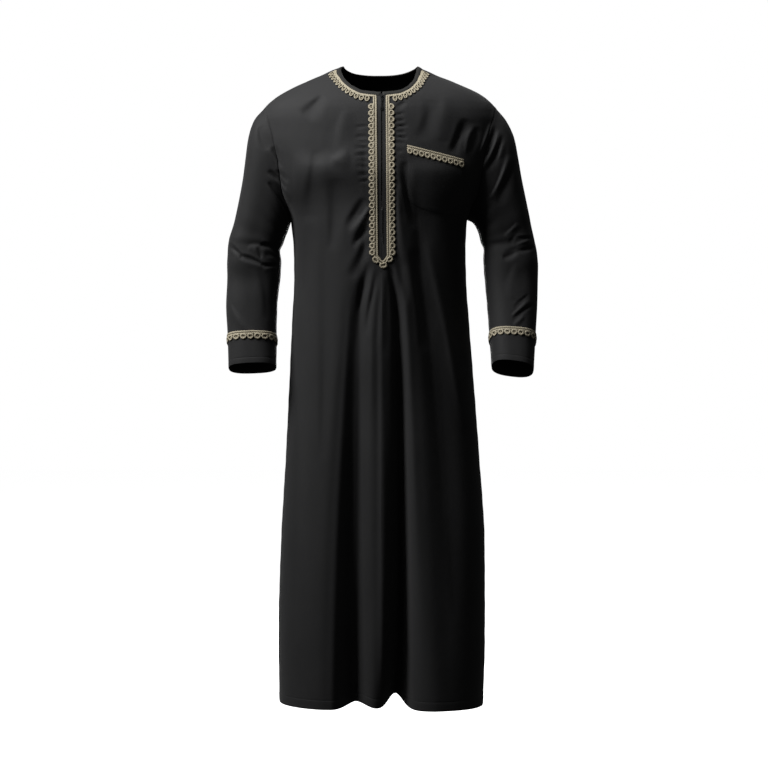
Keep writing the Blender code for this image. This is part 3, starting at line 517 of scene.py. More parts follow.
SLEEVE_ROUNDNESS = 2.7  # exponent of the sleeves' rounded sections
ARMHOLE_BLEND = 3.5
CUFF_BRAID_STEP = 11.0

# Large creases of a sleeve: step and angle of the middle, reach along the arm and round it, depth
SLEEVE_CREASES = (
    (6.4, 70, 0.45, 55, 2),
    (7.3, 110, 0.4, 60, 3),
    (7.9, 40, 0.4, 45, 2),
    (7.2, 215, 0.5, 50, 5),
    (5, 140, 0.6, 35, 2),
    (3.4, 128, 0.8, 26, 2),
    (3, 235, 0.8, 30, 5),
    (9.3, 75, 0.5, 50, 4),
    (10, 250, 0.5, 50, 4),
)


def bump(t):
    return np.exp(-np.square(t))


def pleat(t):
    """Like bump, with a narrower bottom."""
    return np.exp(-np.abs(t) ** PLEAT_SHAPE)


def ease(value):
    t = np.clip(value, 0.0, 1.0)
    return t * t * (3.0 - 2.0 * t)


def unit(vectors):
    return vectors / np.maximum(np.linalg.norm(vectors, axis=-1, keepdims=True), 1e-9)


def arc_of(points):
    """Distance along a line of points, from its first."""
    return np.append(0.0, np.cumsum(np.linalg.norm(np.diff(points, axis=0), axis=1)))


def between(goals, keys, points):
    """Points at these goals along a line whose points have these keys."""
    return np.stack([np.interp(goals, keys, points[:, k]) for k in range(3)], axis=-1)


def even_path(points, count):
    """This many equal steps along a line of points."""
    points = np.asarray(points, float)
    arc = arc_of(points)
    return between(np.linspace(0.0, arc[-1], count + 1), arc, points)


def triple(x, y, z):
    return np.stack(np.broadcast_arrays(x, y, z), axis=-1).astype(float)


def fold_depth(folds, x, z):
    total = 0.0
    for fold in folds:
        apart = x - fold.at(z, "x")
        width = np.where(apart < 0.0, fold.at(z, "right"), fold.at(z, "left"))
        total = total + fold.at(z, "depth") * pleat(apart / width)
    return total


def body_points(share, z, face):
    """Outer surface of the body; share runs -1..1 across, and face is -1 in front and 1 behind."""
    right, left = BODY.at(z, "right"), BODY.at(z, "left")
    x = (left - right) / 2 + share * (left + right) / 2
    bulge = (1.0 - np.minimum(np.abs(share), 1.0) ** ROUNDNESS) ** (1.0 / ROUNDNESS)
    depth = BODY.at(z, FACES[face]) * bulge - fold_depth(FOLDS[face], x, z) * (1.0 - share ** PLEAT_CALM)
    return triple(x, face * depth, z)


def share_at(x, z):
    right, left = BODY.at(z, "right"), BODY.at(z, "left")
    return (x - (left - right) / 2) / ((left + right) / 2)


def front_at(x, z):
    return body_points(share_at(x, z), z, -1)


def hem_z(x):
    return HEM_Z + HEM_SLOPE * x + sum(rise * bump((x - at) / width) for at, width, rise in HEM_RISE_ROWS)


def below_neck(share, face, distance):
    """Points of the surface this far below the neck edge."""
    z = NECK.at(np.abs(share), FACES[face])
    probe = 0.25
    steps = 6
    for _ in range(steps):
        gap = body_points(share, z, face) - body_points(share, z - probe, face)
        z = z - distance / steps / (np.linalg.norm(gap, axis=-1) / probe)
    return body_points(share, z, face)


def armhole_z(angle):
    return (SHOULDER_Z + ARMPIT_Z) / 2 + (SHOULDER_Z - ARMPIT_Z) / 2 * np.cos(angle)


def armhole_share(angle, face):
    z = armhole_z(angle)
    reach = np.abs(np.sin(angle)) * (ARMHOLE_FRONT if face < 0 else ARMHOLE_BACK)
    return (1.0 - (reach / BODY.at(z, FACES[face])) ** ROUNDNESS) ** (1.0 / ROUNDNESS)


def armhole_points(side, angle):
    z = armhole_z(angle)
    front, back = (body_points(side * armhole_share(angle, face), z, face) for face in FACES)
    return np.where((np.sin(angle) > 0.0)[:, None], front, back)


def even_shares(count):
    """Shares of the half width with even steps round the body, and closer ones by the seam."""
    turn = np.linspace(0.0, math.pi / 2, SECTION_STATIONS)
    across = np.sin(turn) ** (2.0 / ROUNDNESS)
    deep = np.cos(turn) ** (2.0 / ROUNDNESS)
    arc = arc_of(np.stack((across * BODY_HALF_WIDTH, deep * BODY_HALF_DEPTH), axis=1))
    even = np.linspace(0.0, arc[-1] - PANEL_SEAM_ROWS[0], count - len(PANEL_SEAM_ROWS) + 2)[1:]
    return np.interp(np.append(even, arc[-1] - np.array(PANEL_SEAM_ROWS[1:])), arc, across)


SHARES = even_shares(PANEL_COLUMNS)


def row_points(face, z, reach=1.0):
    """One row of a panel from the wearer's right to the left; the front has both slit edges."""
    half = SHARES * reach
    shares = np.concatenate((-half[::-1], np.zeros(2 if face < 0 else 1), half))
    z = np.broadcast_to(z, shares.shape)
    if face < 0:
        for index, x in ((PANEL_COLUMNS, -SLIT_HALF), (PANEL_COLUMNS + 1, SLIT_HALF)):
            shares[index] = share_at(x, z[index])
    return body_points(shares, z, face), shares


def panel_grid(face):
    """Outer points of the front or back, from the hem up to the neck binding."""
    skirt = ARMPIT_Z - HEM_Z
    count = round((skirt - HEM_ROWS[-1]) / PANEL_STEP)
    heights = list(HEM_ROWS) + list(np.linspace(HEM_ROWS[-1], skirt, count + 1)[1:-1])
    rows = [row_points(face, HEM_Z + height)[0] for height in heights]
    for row, height in zip(rows, heights):
        row[:, 2] += (hem_z(row[:, 0]) - HEM_Z) / (1.0 + (height / HEM_FADE) ** 2)
    for angle in np.linspace(math.pi, 0.0, ARMHOLE_ROWS + 1):
        rows.append(row_points(face, armhole_z(angle), armhole_share(angle, face))[0])
    top = below_neck(row_points(face, SHOULDER_Z)[1], face, BAND_WIDTH)[:, 2]
    for share in np.linspace(0.0, 1.0, SHOULDER_ROWS + 1)[1:]:
        rows.append(row_points(face, SHOULDER_Z + (top - SHOULDER_Z) * share)[0])
    return np.array(rows)


def section(table, step):
    y = table.at(step, "mid_y")
    return [triple(table.at(step, end + "_x"), y, table.at(step, end + "_z")) for end in ("out", "in")]


def rounded(angles):
    """Cosine and sine on the outline of a rounded section."""
    wide, deep = np.cos(angles), np.sin(angles)
    size = (np.abs(wide) ** SLEEVE_ROUNDNESS + np.abs(deep) ** SLEEVE_ROUNDNESS) ** (-1.0 / SLEEVE_ROUNDNESS)
    return wide * size, deep * size


def sleeve_points(side, steps, angles):
    """Outer surface of a sleeve; the angle is 0 on the outer side and 90 degrees in front."""
    table = SLEEVES[side]
    steps = np.asarray(steps, float)
    angles = np.asarray(angles, float)
    outer, inner = section(table, steps)
    middle = (outer + inner) / 2
    before = sum(section(table, np.maximum(steps - AXIS_PROBE, 0.0)))
    after = sum(section(table, np.minimum(steps + AXIS_PROBE, LAST_STEP)))
    axis = unit(after - before)
    ahead = np.array((0.0, -1.0, 0.0))
    forward = unit(ahead - axis * (axis @ ahead)[:, None])
    across = (outer - inner) / 2
    depth = table.at(steps, "depth")[:, None, None]
    wide, deep = rounded(angles)
    points = middle[:, None] + across[:, None] * wide[None, :, None]
    points = points + forward[:, None] * depth * deep[None, :, None]
    first_outer, first_inner = section(table, 0.0)
    first = (first_outer + first_inner) / 2 + (first_outer - first_inner) / 2 * wide[:, None]
    first = first + ahead * table.at(0.0, "depth") * deep[:, None]
    fade = np.clip(1.0 - steps / ARMHOLE_BLEND, 0.0, 1.0) ** 2
    points = points + (armhole_points(side, angles) - first)[None] * fade[:, None, None]
    inwards = unit(middle[:, None] - points)
    degrees = np.degrees(angles)
    for at, around, reach, spread, crease in SLEEVE_CREASES:
        apart = (degrees - around + 180.0) % 360.0 - 180.0
        hollow = bump((steps - at) / reach)[:, None] * bump(apart / spread)[None]
        points = points + inwards * (crease * hollow)[..., None]
    return points


def sleeve_steps(side):
    """Steps with even spacing along the outer side, and closer ones at the armhole and the cuff."""
    table = SLEEVES[side]
    fine = np.linspace(0.0, LAST_STEP, SLEEVE_STATIONS)
    outer, _ = section(table, fine)
    arc = arc_of(outer)
    by_cuff = arc[-1] - np.array(CUFF_ROWS)[::-1]
    start = SLEEVE_SEAM_ROWS[-1]
    count = round((by_cuff[0] - start) / SLEEVE_STEP)
    even = np.linspace(start, by_cuff[0], count + 1)[1:-1]
    return np.interp(np.concatenate((SLEEVE_SEAM_ROWS, even, by_cuff)), arc, fine)


def normals_of(grid, closed=False):
    if closed:
        across = np.roll(grid, -1, axis=1) - np.roll(grid, 1, axis=1)
    else:
        across = np.gradient(grid, axis=1)
    up = np.gradient(grid, axis=0)
    return unit(np.cross(across, up))


def run_along(grid, axis):
    """Distance from the first point along one axis of the grid."""
    steps = np.linalg.norm(np.diff(grid, axis=axis), axis=-1)
    pad = [(0, 0), (0, 0)]
    pad[axis] = (1, 0)
    return np.cumsum(np.pad(steps, pad), axis=axis)


def crease_depth(creases, x, z):
    total = np.zeros(np.shape(x))
    waver, rate = CREASE_WAVER
    for x0, z0, x1, z1, bow, width, depth in creases:
        dx, dz = x1 - x0, z1 - z0
        length = math.hypot(dx, dz)
        share = np.clip(((x - x0) * dx + (z - z0) * dz) / length ** 2, 0.0, 1.0)
        hump = 4.0 * share * (1.0 - share)
        apart = ((z - z0) * dx - (x - x0) * dz) / length - bow * hump
        lean = (CREASE_STEEP[1] * dx - CREASE_STEEP[0] * dz) * apart
        uneven = 1.0 + waver * np.sin(rate * share + x0)
        t = apart / (width * uneven * np.where(lean < 0.0, CREASE_SOFT, 1.0))
        total += CREASE_GAIN * depth * hump ** CREASE_TAPER * (1.0 - 0.5 * t * t) * np.exp(-0.5 * t * t)
    return total


def crease(grid, middle_y=0.0):
    """Moves the points of a grid inwards where the front's or back's creases are."""
    x, y, z = np.moveaxis(grid, -1, 0)
    apart = y - middle_y
    weight = ease(np.abs(apart) / CREASE_REACH)
    front = crease_depth(FRONT_CREASES, x, z)
    calm_x, fade_x, calm_z, fade_z = CALM_SLIT
    by_slit = (1.0 - ease((np.abs(x) - calm_x) / fade_x)) * ease((z - calm_z) / fade_z)
    depth = np.where(apart < 0.0, front * (1.0 - by_slit), -crease_depth(BACK_CREASES, x, z))
    return triple(x, y + depth * weight, z)


def seam_puff(distance, along):
    """Swelling beside a seam, uneven along it."""
    waver, short, long = SEAM_WAVER
    uneven = 1.0 + waver * np.sin(along / short) * np.sin(along / long + 1.0)
    return SEAM_PUFF * (1.0 - bump(distance / SEAM_LINE)) * bump(distance / SEAM_SPREAD) * uneven


def stitched(distance, at, along):
    """Groove of a line of stitches, with the folded edge beyond it a little proud."""
    height, rounding, fade = EDGE_FOLD
    uneven = 1.0 + STITCH_WAVER * np.sin(along / STITCH_PITCH)
    groove = -STITCH_DEPTH * bump((distance - at) / STITCH_WIDTH) * uneven
    fold = height * ease(distance / rounding) * ease((at - distance) / fade)
    return groove + fold


def panel(face):
    """Finished outer points of a panel, with the wearer's right first in front and last behind."""
    grid = crease(panel_grid(face))
    across = run_along(grid, 1)
    up = run_along(grid, 0)
    from_side = np.minimum(across, across[:, -1:] - across)
    rise = seam_puff(from_side, up) + stitched(up, HEM_STITCH, across)
    grid = grid - face * normals_of(grid) * rise[..., None]
    return grid if face < 0 else grid[:, ::-1]


def sleeve(side):
    count = 2 * ARMHOLE_ROWS
    angles = side * 2.0 * math.pi * np.arange(count) / count
    steps = sleeve_steps(side)
    table = SLEEVES[side]
    middle = table.at(steps, "mid_y") * ease(steps / ARMHOLE_FADE)
    grid = crease(sleeve_points(side, steps, angles), middle[:, None])
    down = run_along(grid, 0)
    around = run_along(grid, 1)
    from_underarm = np.abs(around - around[:, ARMHOLE_ROWS:ARMHOLE_ROWS + 1])
    rise = seam_puff(down, around) + stitched(down[-1:] - down, CUFF_STITCH, around)
    rise = rise + seam_puff(from_underarm, down) * ease(down / UNDERARM_FADE)
    return grid + normals_of(grid, closed=True) * rise[..., None]


def grid_faces(rows, columns, closed=False, skip=None):
    """Corner indices of a grid's quads, and the corners' columns with the last one unwrapped."""
    i, j = np.meshgrid(np.arange(rows - 1), np.arange(columns if closed else columns - 1), indexing="ij")
    i, j = i.ravel(), j.ravel()
    if skip is not None:
        kept = ~skip[i, j]
        i, j = i[kept], j[kept]
    spots = np.array(((i, j), (i, j + 1), (i + 1, j + 1), (i + 1, j))).transpose(2, 0, 1)
    return spots[..., 0] * columns + spots[..., 1] % columns, spots


def add_object(name, data):
    made = bpy.data.objects.new(name, data)
    bpy.context.scene.collection.objects.link(made)
    return made


def new_mesh(name, points, faces, uvs, sharp=180.0):
    """Smooth mesh in metres from points in millimetres, with a UV for each corner of each face."""
    mesh = bpy.data.meshes.new(name)
    mesh.from_pydata([tuple(p) for p in np.asarray(points) * MM], [], [tuple(f) for f in faces])
    layer = mesh.uv_layers.new(name="weave")
    layer.data.foreach_set("uv", (np.concatenate([np.reshape(u, (-1, 2)) for u in uvs]) * MM).ravel())
    mesh.shade_smooth()
    if sharp < 180.0:
        mesh.set_sharp_from_angle(angle=math.radians(sharp))
    return add_object(name, mesh)


def shell(name, grid, thick, closed=False, skip=None):
    """Thin cloth under a grid of outer points, with UVs that follow the weave."""
    rows, columns = grid.shape[:2]
    faces, spots = grid_faces(rows, columns, closed, skip)
    wrapped = np.concatenate((grid, grid[:, :1]), axis=1) if closed else grid
    across = run_along(wrapped, 1)
    middle = 0 if closed else columns // 2
    across = across - across[:, middle:middle + 1]
    weave = np.stack((across, run_along(wrapped, 0)), axis=-1)
    count = rows * columns
    under = grid - normals_of(grid, closed) * thick
    corner_uv = weave[spots[..., 0], spots[..., 1]]
    edges = np.concatenate([faces[:, [k, (k + 1) % 4]] for k in range(4)])
    codes = edges[:, 0] * count + edges[:, 1]
    reverse = edges[:, 1] * count + edges[:, 0]
    start, end = edges[~np.isin(codes, reverse)].T
    rim_faces = np.stack((end, start, start + count, end + count), 1)
    flat_weave = weave[:, :columns].reshape(-1, 2)
    rim_uv = flat_weave[rim_faces % count]
    every = np.concatenate((faces, faces[:, ::-1] + count, rim_faces))
    points = np.concatenate((grid, under)).reshape(-1, 3)
    return new_mesh(name, points, every, [corner_uv, corner_uv[:, ::-1], rim_uv], SHARP)


def tree_of(grid, closed=False):
    faces, _ = grid_faces(*grid.shape[:2], closed)
    return BVHTree.FromPolygons([tuple(p) for p in grid.reshape(-1, 3)], [tuple(f) for f in faces])


class Cords:
    """Cords laid on a surface and gathered in one mesh. The UV runs along and round each cord."""

    def __init__(self, tree):
        self.tree = tree
        self.points = []
        self.faces = []
        self.uvs = []

    def lay(self, path, width, thick, lift, closed=False, sides=10, side_shade_tone=False):
        found = [self.tree.find_nearest(Vector(point))[:2] for point in path]
        seats, normals = np.array(found).transpose(1, 0, 2)
        if closed:
            normals = unit(normals + np.roll(normals, 1, 0) + np.roll(normals, -1, 0))
            tangents = unit(np.roll(seats, -1, 0) - np.roll(seats, 1, 0))
        else:
            padded = np.concatenate((normals[:1], normals, normals[-1:]))
            normals = unit(padded[:-2] + normals + padded[2:])
            tangents = unit(np.gradient(seats, axis=0))
        sideways = unit(np.cross(normals, tangents))
        count = len(seats)
        size = np.ones(count)
        if not closed:
            size[[0, -1]] = CORD_END
        centre = seats + normals * np.reshape(lift, (-1, 1))
        turn = 2.0 * math.pi * np.arange(sides) / sides
        ring = centre[:, None]
        for way, reach in ((sideways, np.cos(turn) * width / 2), (normals, np.sin(turn) * thick / 2)):
            ring = ring + way[:, None] * (size[:, None] * reach)[..., None]
        base = sum(len(p) for p in self.points)
        self.points.append(ring.reshape(-1, 3))
        along = arc_of(np.concatenate((centre, centre[:1])))
        faces, spots = grid_faces(count + 1 if closed else count, sides, closed=True)
        self.faces += list(base + faces % (count * sides))
        # a seed cord keeps one place in the turn, so it takes the painted side-shade tone all over
        self.uvs.append(np.stack((along[spots[..., 0]], np.where(side_shade_tone, SEED_SHADE_TURN, spots[..., 1])), axis=-1))
        if not closed:
            ends = [(0, j) for j in range(sides)][::-1], [(count - 1, j) for j in range(sides)]
            self.faces += [[base + i * sides + j for i, j in end] for end in ends]
            self.uvs += [[(along[i], j) for i, j in end] for end in ends]

    def build(self, name):
        return new_mesh(name, np.concatenate(self.points), self.faces, self.uvs)


class Rails:
    """The way of a braid: its straight edge and, a braid's width further out, its loops' tips."""

    def __init__(self, inner, outer):
        self.inner = np.asarray(inner, float)
        self.outer = np.asarray(outer, float)

    def at(self, index, out):
        share = np.reshape(np.asarray(out, float) / BRAID_WIDTH, (-1, 1))
        keys = np.arange(len(self.inner))
        inner, outer = between(index, keys, self.inner), between(index, keys, self.outer)
        return inner + (outer - inner) * share

    def along(self, out):
        return self.at(np.arange(len(self.inner)), out)

    def loop(self, number, middle, reach, along, count=LOOP_STATIONS):
        turn = 2.0 * math.pi * np.arange(count) / count
        taper = 1.0 - LOOP_TAPER * np.sin(turn)
        index = (number + 0.5 + along * taper * np.cos(turn)) * PER_LOOP
        return self.at(index, middle + reach * np.sin(turn)), turn


def braid_corner(side):
    share = share_at(side * BRAID_HALF_GAP[side], NECK.at(0.0, "front"))
    return below_neck(share, -1, BAND_WIDTH + BRAID_NECK_GAP)


def neck_rails(side):
    drop = BAND_WIDTH + BRAID_NECK_GAP
    near = share_at(side * (BRAID_HALF_GAP[side] + CORNER_START), braid_corner(side)[2])
    shares = np.linspace(side * NECK_BRAID_END, near, NECK_STATIONS)
    edges = (below_neck(shares, -1, drop), below_neck(shares, -1, drop + BRAID_WIDTH))
    return Rails(*(even_path(edge, NECK_LOOPS * PER_LOOP) for edge in edges))


def slit_rails(side):
    top = braid_corner(side)[2] - BRAID_WIDTH
    count = PLACKET_LOOPS * PER_LOOP + 1
    z = np.linspace(top, BRAID_LOW_Z, count)
    x = np.linspace(side * BRAID_HALF_GAP[side], BRAID_LOW_X[side], count)
    return Rails(front_at(x, z), front_at(x + side * BRAID_WIDTH, z))


def point_rails():
    rows = np.array(POINT_ROWS)
    last = len(rows) - 1
    x, z, turn = between(np.linspace(0, last, last * PER_LOOP + 1), np.arange(last + 1), rows).T
    turn = np.radians(turn)
    return Rails(front_at(x, z), front_at(x + BRAID_WIDTH * np.cos(turn), z + BRAID_WIDTH * np.sin(turn)))


def straight_cords(cords, path_at, closed=False):
    """The flat and the round cord; path_at gives the way at a distance from the straight edge."""
    for out, width, thick in (FLAT_CORD, ROUND_CORD):
        path = path_at(out)
        apart = np.linalg.norm(np.diff(path, axis=0), axis=1)
        cords.lay(path[np.append(True, apart > CORD_STEP)], width, thick, CORD_LIFT + thick / 2, closed)


def loop_cords(cords, rails, count, size=LOOP):
    middle, reach, along, width = size
    for number in range(count):
        path, turn = rails.loop(number, middle, reach, along)
        lift = LOOP_LIFT + LOOP_THICK / 2 + LOOP_TILT * (1.0 - np.sin(turn)) / 2
        cords.lay(path, width, LOOP_THICK, lift, closed=True)
        path, _ = rails.loop(number, middle, reach * SEED_SHARE[0], along * SEED_SHARE[1], SEED_STATIONS)
        cords.lay(path, *SEED, CORD_LIFT + SEED[1] / 2, closed=True, sides=6, side_shade_tone=True)


def front_braid(tree):
    cords = Cords(tree)
    rails = {side: (neck_rails(side), slit_rails(side)) for side in (-1, 1)}
    for neck, slit in rails.values():
        loop_cords(cords, neck, NECK_LOOPS, NECK_LOOP)
        loop_cords(cords, slit, PLACKET_LOOPS)
    point = point_rails()
    loop_cords(cords, point, len(POINT_ROWS) - 1, POINT_LOOP)
    bend = np.arange(1, CORNER_STEPS + 1)[:, None] / CORNER_STEPS

    def around(out, side):
        """From the shoulder along the neck, round the corner and down the slit."""
        neck, slit = rails[side]
        tip = braid_corner(side)
        reach_down = unit(slit.inner[0] - tip)
        reach_out = unit(neck.inner[-1] - tip)
        turn = tip + reach_down * out * NECK_SQUEEZE + reach_out * out
        by_neck, by_slit = neck.along(out * NECK_SQUEEZE), slit.along(out)
        start, end = by_neck[-1], by_slit[0]
        to_turn, from_turn = start + (turn - start) * bend, turn + (end - turn) * bend[:-1]
        return np.concatenate((by_neck, to_turn, from_turn, by_slit))

    def whole(out):
        return np.concatenate((around(out, -1), point.along(out), around(out, 1)[::-1]))

    straight_cords(cords, whole)
    return cords.build("braid_front_cords")


def mouth_points(drop):
    x = np.linspace(POCKET_RIGHT_X, POCKET_LEFT_X, MOUTH_STATIONS)
    return triple(x, AHEAD_Y, POCKET_TOP_Z + POCKET_SLOPE * (x - POCKET_RIGHT_X) - drop)


def cast(tree, spots):
    return np.array([tree.ray_cast(Vector(spot), BACKWARDS)[0] for spot in spots])


def pocket_braid(front_tree, patch_tree):
    edges = (cast(front_tree, mouth_points(drop)) for drop in (0.0, BRAID_WIDTH))
    rails = Rails(*(even_path(edge, POCKET_LOOPS * PER_LOOP) for edge in edges))
    cords = Cords(patch_tree)
    straight_cords(cords, rails.along)
    loop_cords(cords, rails, POCKET_LOOPS)
    return cords.build("braid_pocket_cords")


def cuff_braid(name, side, tree):
    count = CUFF_LOOPS * PER_LOOP
    angles = side * 2.0 * math.pi * np.arange(count + 1) / count
    top, low = sleeve_points(side, (CUFF_BRAID_STEP, CUFF_BRAID_STEP + 0.5), angles)
    rails = Rails(top, top + unit(low - top) * BRAID_WIDTH)
    cords = Cords(tree)
    straight_cords(cords, lambda out: rails.along(out)[:-1], closed=True)
    loop_cords(cords, rails, CUFF_LOOPS)
    return cords.build(name)


def band_grid():
    """Closed binding round the neck, from one edge of the slit round the back to the other."""
    first, last = (share_at(x, NECK.at(0.0, "front")) for x in (SLIT_HALF, -SLIT_HALF))
    share = np.concatenate(([first], SHARES, SHARES[-2::-1], [0.0], -SHARES[:-1], -SHARES[::-1], [last]))
    front = np.ones(len(share), bool)
    front[len(SHARES) + 1:-len(SHARES) - 1] = False

    def at(distance):
        return np.where(front[:, None], below_neck(share, -1, distance), below_neck(share, 1, distance))

    top, low = at(0.0), at(BAND_WIDTH)
    down = unit(low - top)
    along = np.gradient(top, axis=0)
    outward = unit(np.cross(down, along))
    wrong = np.sum(outward * ((top + low) / 2 - INSIDE), axis=1) < 0.0
    outward = np.where(wrong[:, None], -outward, outward)
    arc = arc_of(top)
    height, short, long = BAND_RIPPLE
    ripple = height * np.sin(arc / short) * np.sin(arc / long)
    grid = []
    for distance, height in BAND_SECTION:
        spot = at(distance) if distance >= 0.0 else top + down * distance
        grid.append(spot + outward * (height + ripple)[:, None])
    return np.array(grid).transpose(1, 0, 2)


def neck_band():
    grid = band_grid()
    rows, columns = grid.shape[:2]
    faces, spots = grid_faces(rows, columns, closed=True)
    wrapped = np.concatenate((grid, grid[:, :1]), axis=1)
    weave = np.stack((run_along(wrapped, 0), run_along(wrapped, 1)), axis=-1)
    uvs = [weave[spots[..., 0], spots[..., 1]]]
    uvs += [weave[0, :columns][::-1], weave[-1, :columns]]
    caps = [np.arange(columns)[::-1], np.arange((rows - 1) * columns, rows * columns)]
    made = new_mesh("neck_binding", grid.reshape(-1, 3), list(faces) + caps, uvs)
    shape = bmesh.new()
    shape.from_mesh(made.data)
    bmesh.ops.recalc_face_normals(shape, faces=shape.faces)
    shape.to_mesh(made.data)
    shape.free()
    return made


def pocket_grid(tree):
    """Outer points of the patch, pulled down at its stitched edges."""
    def spread(length, count):
        marks = np.array(POCKET_EDGE_ROWS)
        even = np.linspace(marks[-1], length - marks[-1], count)[1:-1]
        return np.concatenate((marks, even, length - marks[::-1]))

    width = POCKET_LEFT_X - POCKET_RIGHT_X
    across = spread(width, POCKET_CELLS[0])
    upward = spread(POCKET_DEPTH, POCKET_CELLS[1])
    x = np.broadcast_to(POCKET_RIGHT_X + across, (len(upward), len(across)))
    top = POCKET_TOP_Z + POCKET_SLOPE * (x - POCKET_RIGHT_X)
    bottom = top - POCKET_DEPTH + POCKET_ROUNDING * np.abs(2.0 * (x - POCKET_RIGHT_X) / width - 1.0) ** 4
    z = bottom + (top - bottom) * (upward / POCKET_DEPTH)[:, None]
    grid = cast(tree, triple(x, AHEAD_Y, z).reshape(-1, 3)).reshape(x.shape + (3,))
    for _ in range(POCKET_CALMING):
        y = np.pad(grid[..., 1], 1, mode="edge")
        grid[..., 1] = (y[1:-1, 1:-1] * 4 + y[:-2, 1:-1] + y[2:, 1:-1] + y[1:-1, :-2] + y[1:-1, 2:]) / 8
    side = np.minimum(across, width - across)[None]
    edge = np.minimum(np.broadcast_to(side, x.shape), upward[:, None])
    swell, rise = POCKET_SWELL
    groove, wide = POCKET_GROOVE
    lift = POCKET_THICK + POCKET_GAP + swell * ease(edge / rise)
    lift = lift - groove * bump((edge - POCKET_STITCH) / wide)
    return grid + normals_of(grid) * lift[..., None]


def slider_frame():
    point = front_at(0.0, SLIDER_Z)
    above, below = SLIDER_ENDS
    down = unit(front_at(0.0, SLIDER_Z - below) - front_at(0.0, SLIDER_Z + above))
    return point, down, np.cross(down, RIGHTWARDS)


def plates(name, origin, up, layers):
    """Bevelled plates in one mesh. A layer is an outline and the heights between which it lies."""
    outward = np.cross(RIGHTWARDS, up)
    points, faces, uvs = [], [], []
    inwards, bevel = PLATE_BEVEL
    for outline, low, high in layers:
        outline = np.asarray(outline, float)
        middle = outline.mean(axis=0)
        inset = 1.0 - inwards / np.max(np.linalg.norm(outline - middle, axis=1))
        base, count = len(points), len(outline)
        rings = ((low, inset), (low + bevel, 1.0), (high - bevel, 1.0), (high, inset))
        for height, scale in rings:
            for x, y in middle + (outline - middle) * scale:
                points.append(origin + RIGHTWARDS * x + up * y + outward * height)
        faces += list(base + grid_faces(len(rings), count, closed=True)[0])
        faces += [range(base + count - 1, base - 1, -1), range(len(points) - count, len(points))]
    for face in faces:
        uvs.append([(points[v] @ RIGHTWARDS, points[v] @ up) for v in face])
    return new_mesh(name, points, faces, uvs, METAL_SHARP)


def zip_slider():
    point, down, _ = slider_frame()
    half = [(-2.2, 4.4), (-3.4, 2.6), (-3.3, -0.5), (-2.4, -4.4)]
    body = half + [(-x, y) for x, y in half[::-1]]
    low = [(x * 0.94, y * 0.96) for x, y in body]
    post = [(-0.8, 3.6), (-0.8, 0.4), (0.8, 0.4), (0.8, 3.6)]
    foot = [(-0.75, -3.0), (-0.75, -3.9), (0.75, -3.9), (0.75, -3.0)]
    bridge = [(-0.75, 3.6), (-0.75, -3.9), (0.75, -3.9), (0.75, 3.6)]
    seat = SLIDER_SEAT
    layers = (
        (low, seat, seat + 0.9),
        (post, seat + 0.5, seat + 1.8),
        (body, seat + 1.35, seat + SLIDER_THICK),
        (post, seat + 2.0, seat + 4.6),
        (foot, seat + 2.0, seat + 4.6),
        (bridge, seat + 4.3, seat + 4.9),
    )
    return plates("slider", point, -down, layers)


def pull_frame():
    point, down, outward = slider_frame()
    axis = point + outward * (SLIDER_SEAT + SLIDER_THICK + PULL_PIN) + down * PULL_PIN_DROP
    tip = front_at(0.0, axis[2] - PULL_DROP) + np.array((0.0, -PULL_TIP_HEIGHT, 0.0))
    return axis, unit(tip - axis)


def zip_pull():
    """Flat tab with an eye at the slider, a narrow waist and a round pierced tip."""
    axis, along = pull_frame()
    tip, radius, hole_radius = PULL_TIP
    turn = np.linspace(math.pi, 2.0 * math.pi, 17)
    outline = [(2.2, 0.2), (1.9, 0.5), (-1.9, 0.5), (-2.2, 0.2), (-2.1, -9.0), (-1.75, -22.8)]
    outline += [(radius * math.cos(a), tip + radius * math.sin(a)) for a in turn]
    outline += [(1.75, -22.8), (2.1, -9.0)]
    eye = [(1.0, -0.6), (-1.0, -0.6), (-1.0, -4.6), (1.0, -4.6)]
    turn = np.linspace(0.0, 2.0 * math.pi, 17)[:-1]
    hole = [(hole_radius * math.cos(a), tip + hole_radius * math.sin(a)) for a in turn]
    curve = bpy.data.curves.new("zip_pull_outline", "CURVE")
    curve.dimensions = "2D"
    curve.fill_mode = "BOTH"
    curve.extrude = PULL_HALF * MM
    curve.bevel_depth = PULL_BEVEL * MM
    curve.bevel_resolution = 2
    curve.offset = -PULL_BEVEL * MM
    for ring in (outline, eye, hole):
        spline = curve.splines.new("POLY")
        spline.points.add(len(ring) - 1)
        for spot, (x, y) in zip(spline.points, ring):
            spot.co = (x * MM, y * MM, 0.0, 1.0)
        spline.use_cyclic_u = True
    flat = add_object("zip_pull_flat", curve)
    bpy.context.view_layer.update()
    mesh = bpy.data.meshes.new_from_object(flat.evaluated_get(bpy.context.evaluated_depsgraph_get()))
    bpy.data.objects.remove(flat)
    for vertex in mesh.vertices:
        x, y, z = vertex.co
        vertex.co = Vector(axis * MM + RIGHTWARDS * x - along * y - np.cross(RIGHTWARDS, along) * z)
    mesh.name = "pull_tab"
    mesh.materials.clear()
    mesh.shade_smooth()
    mesh.set_sharp_from_angle(angle=math.radians(METAL_SHARP))
    return add_object("pull_tab", mesh)


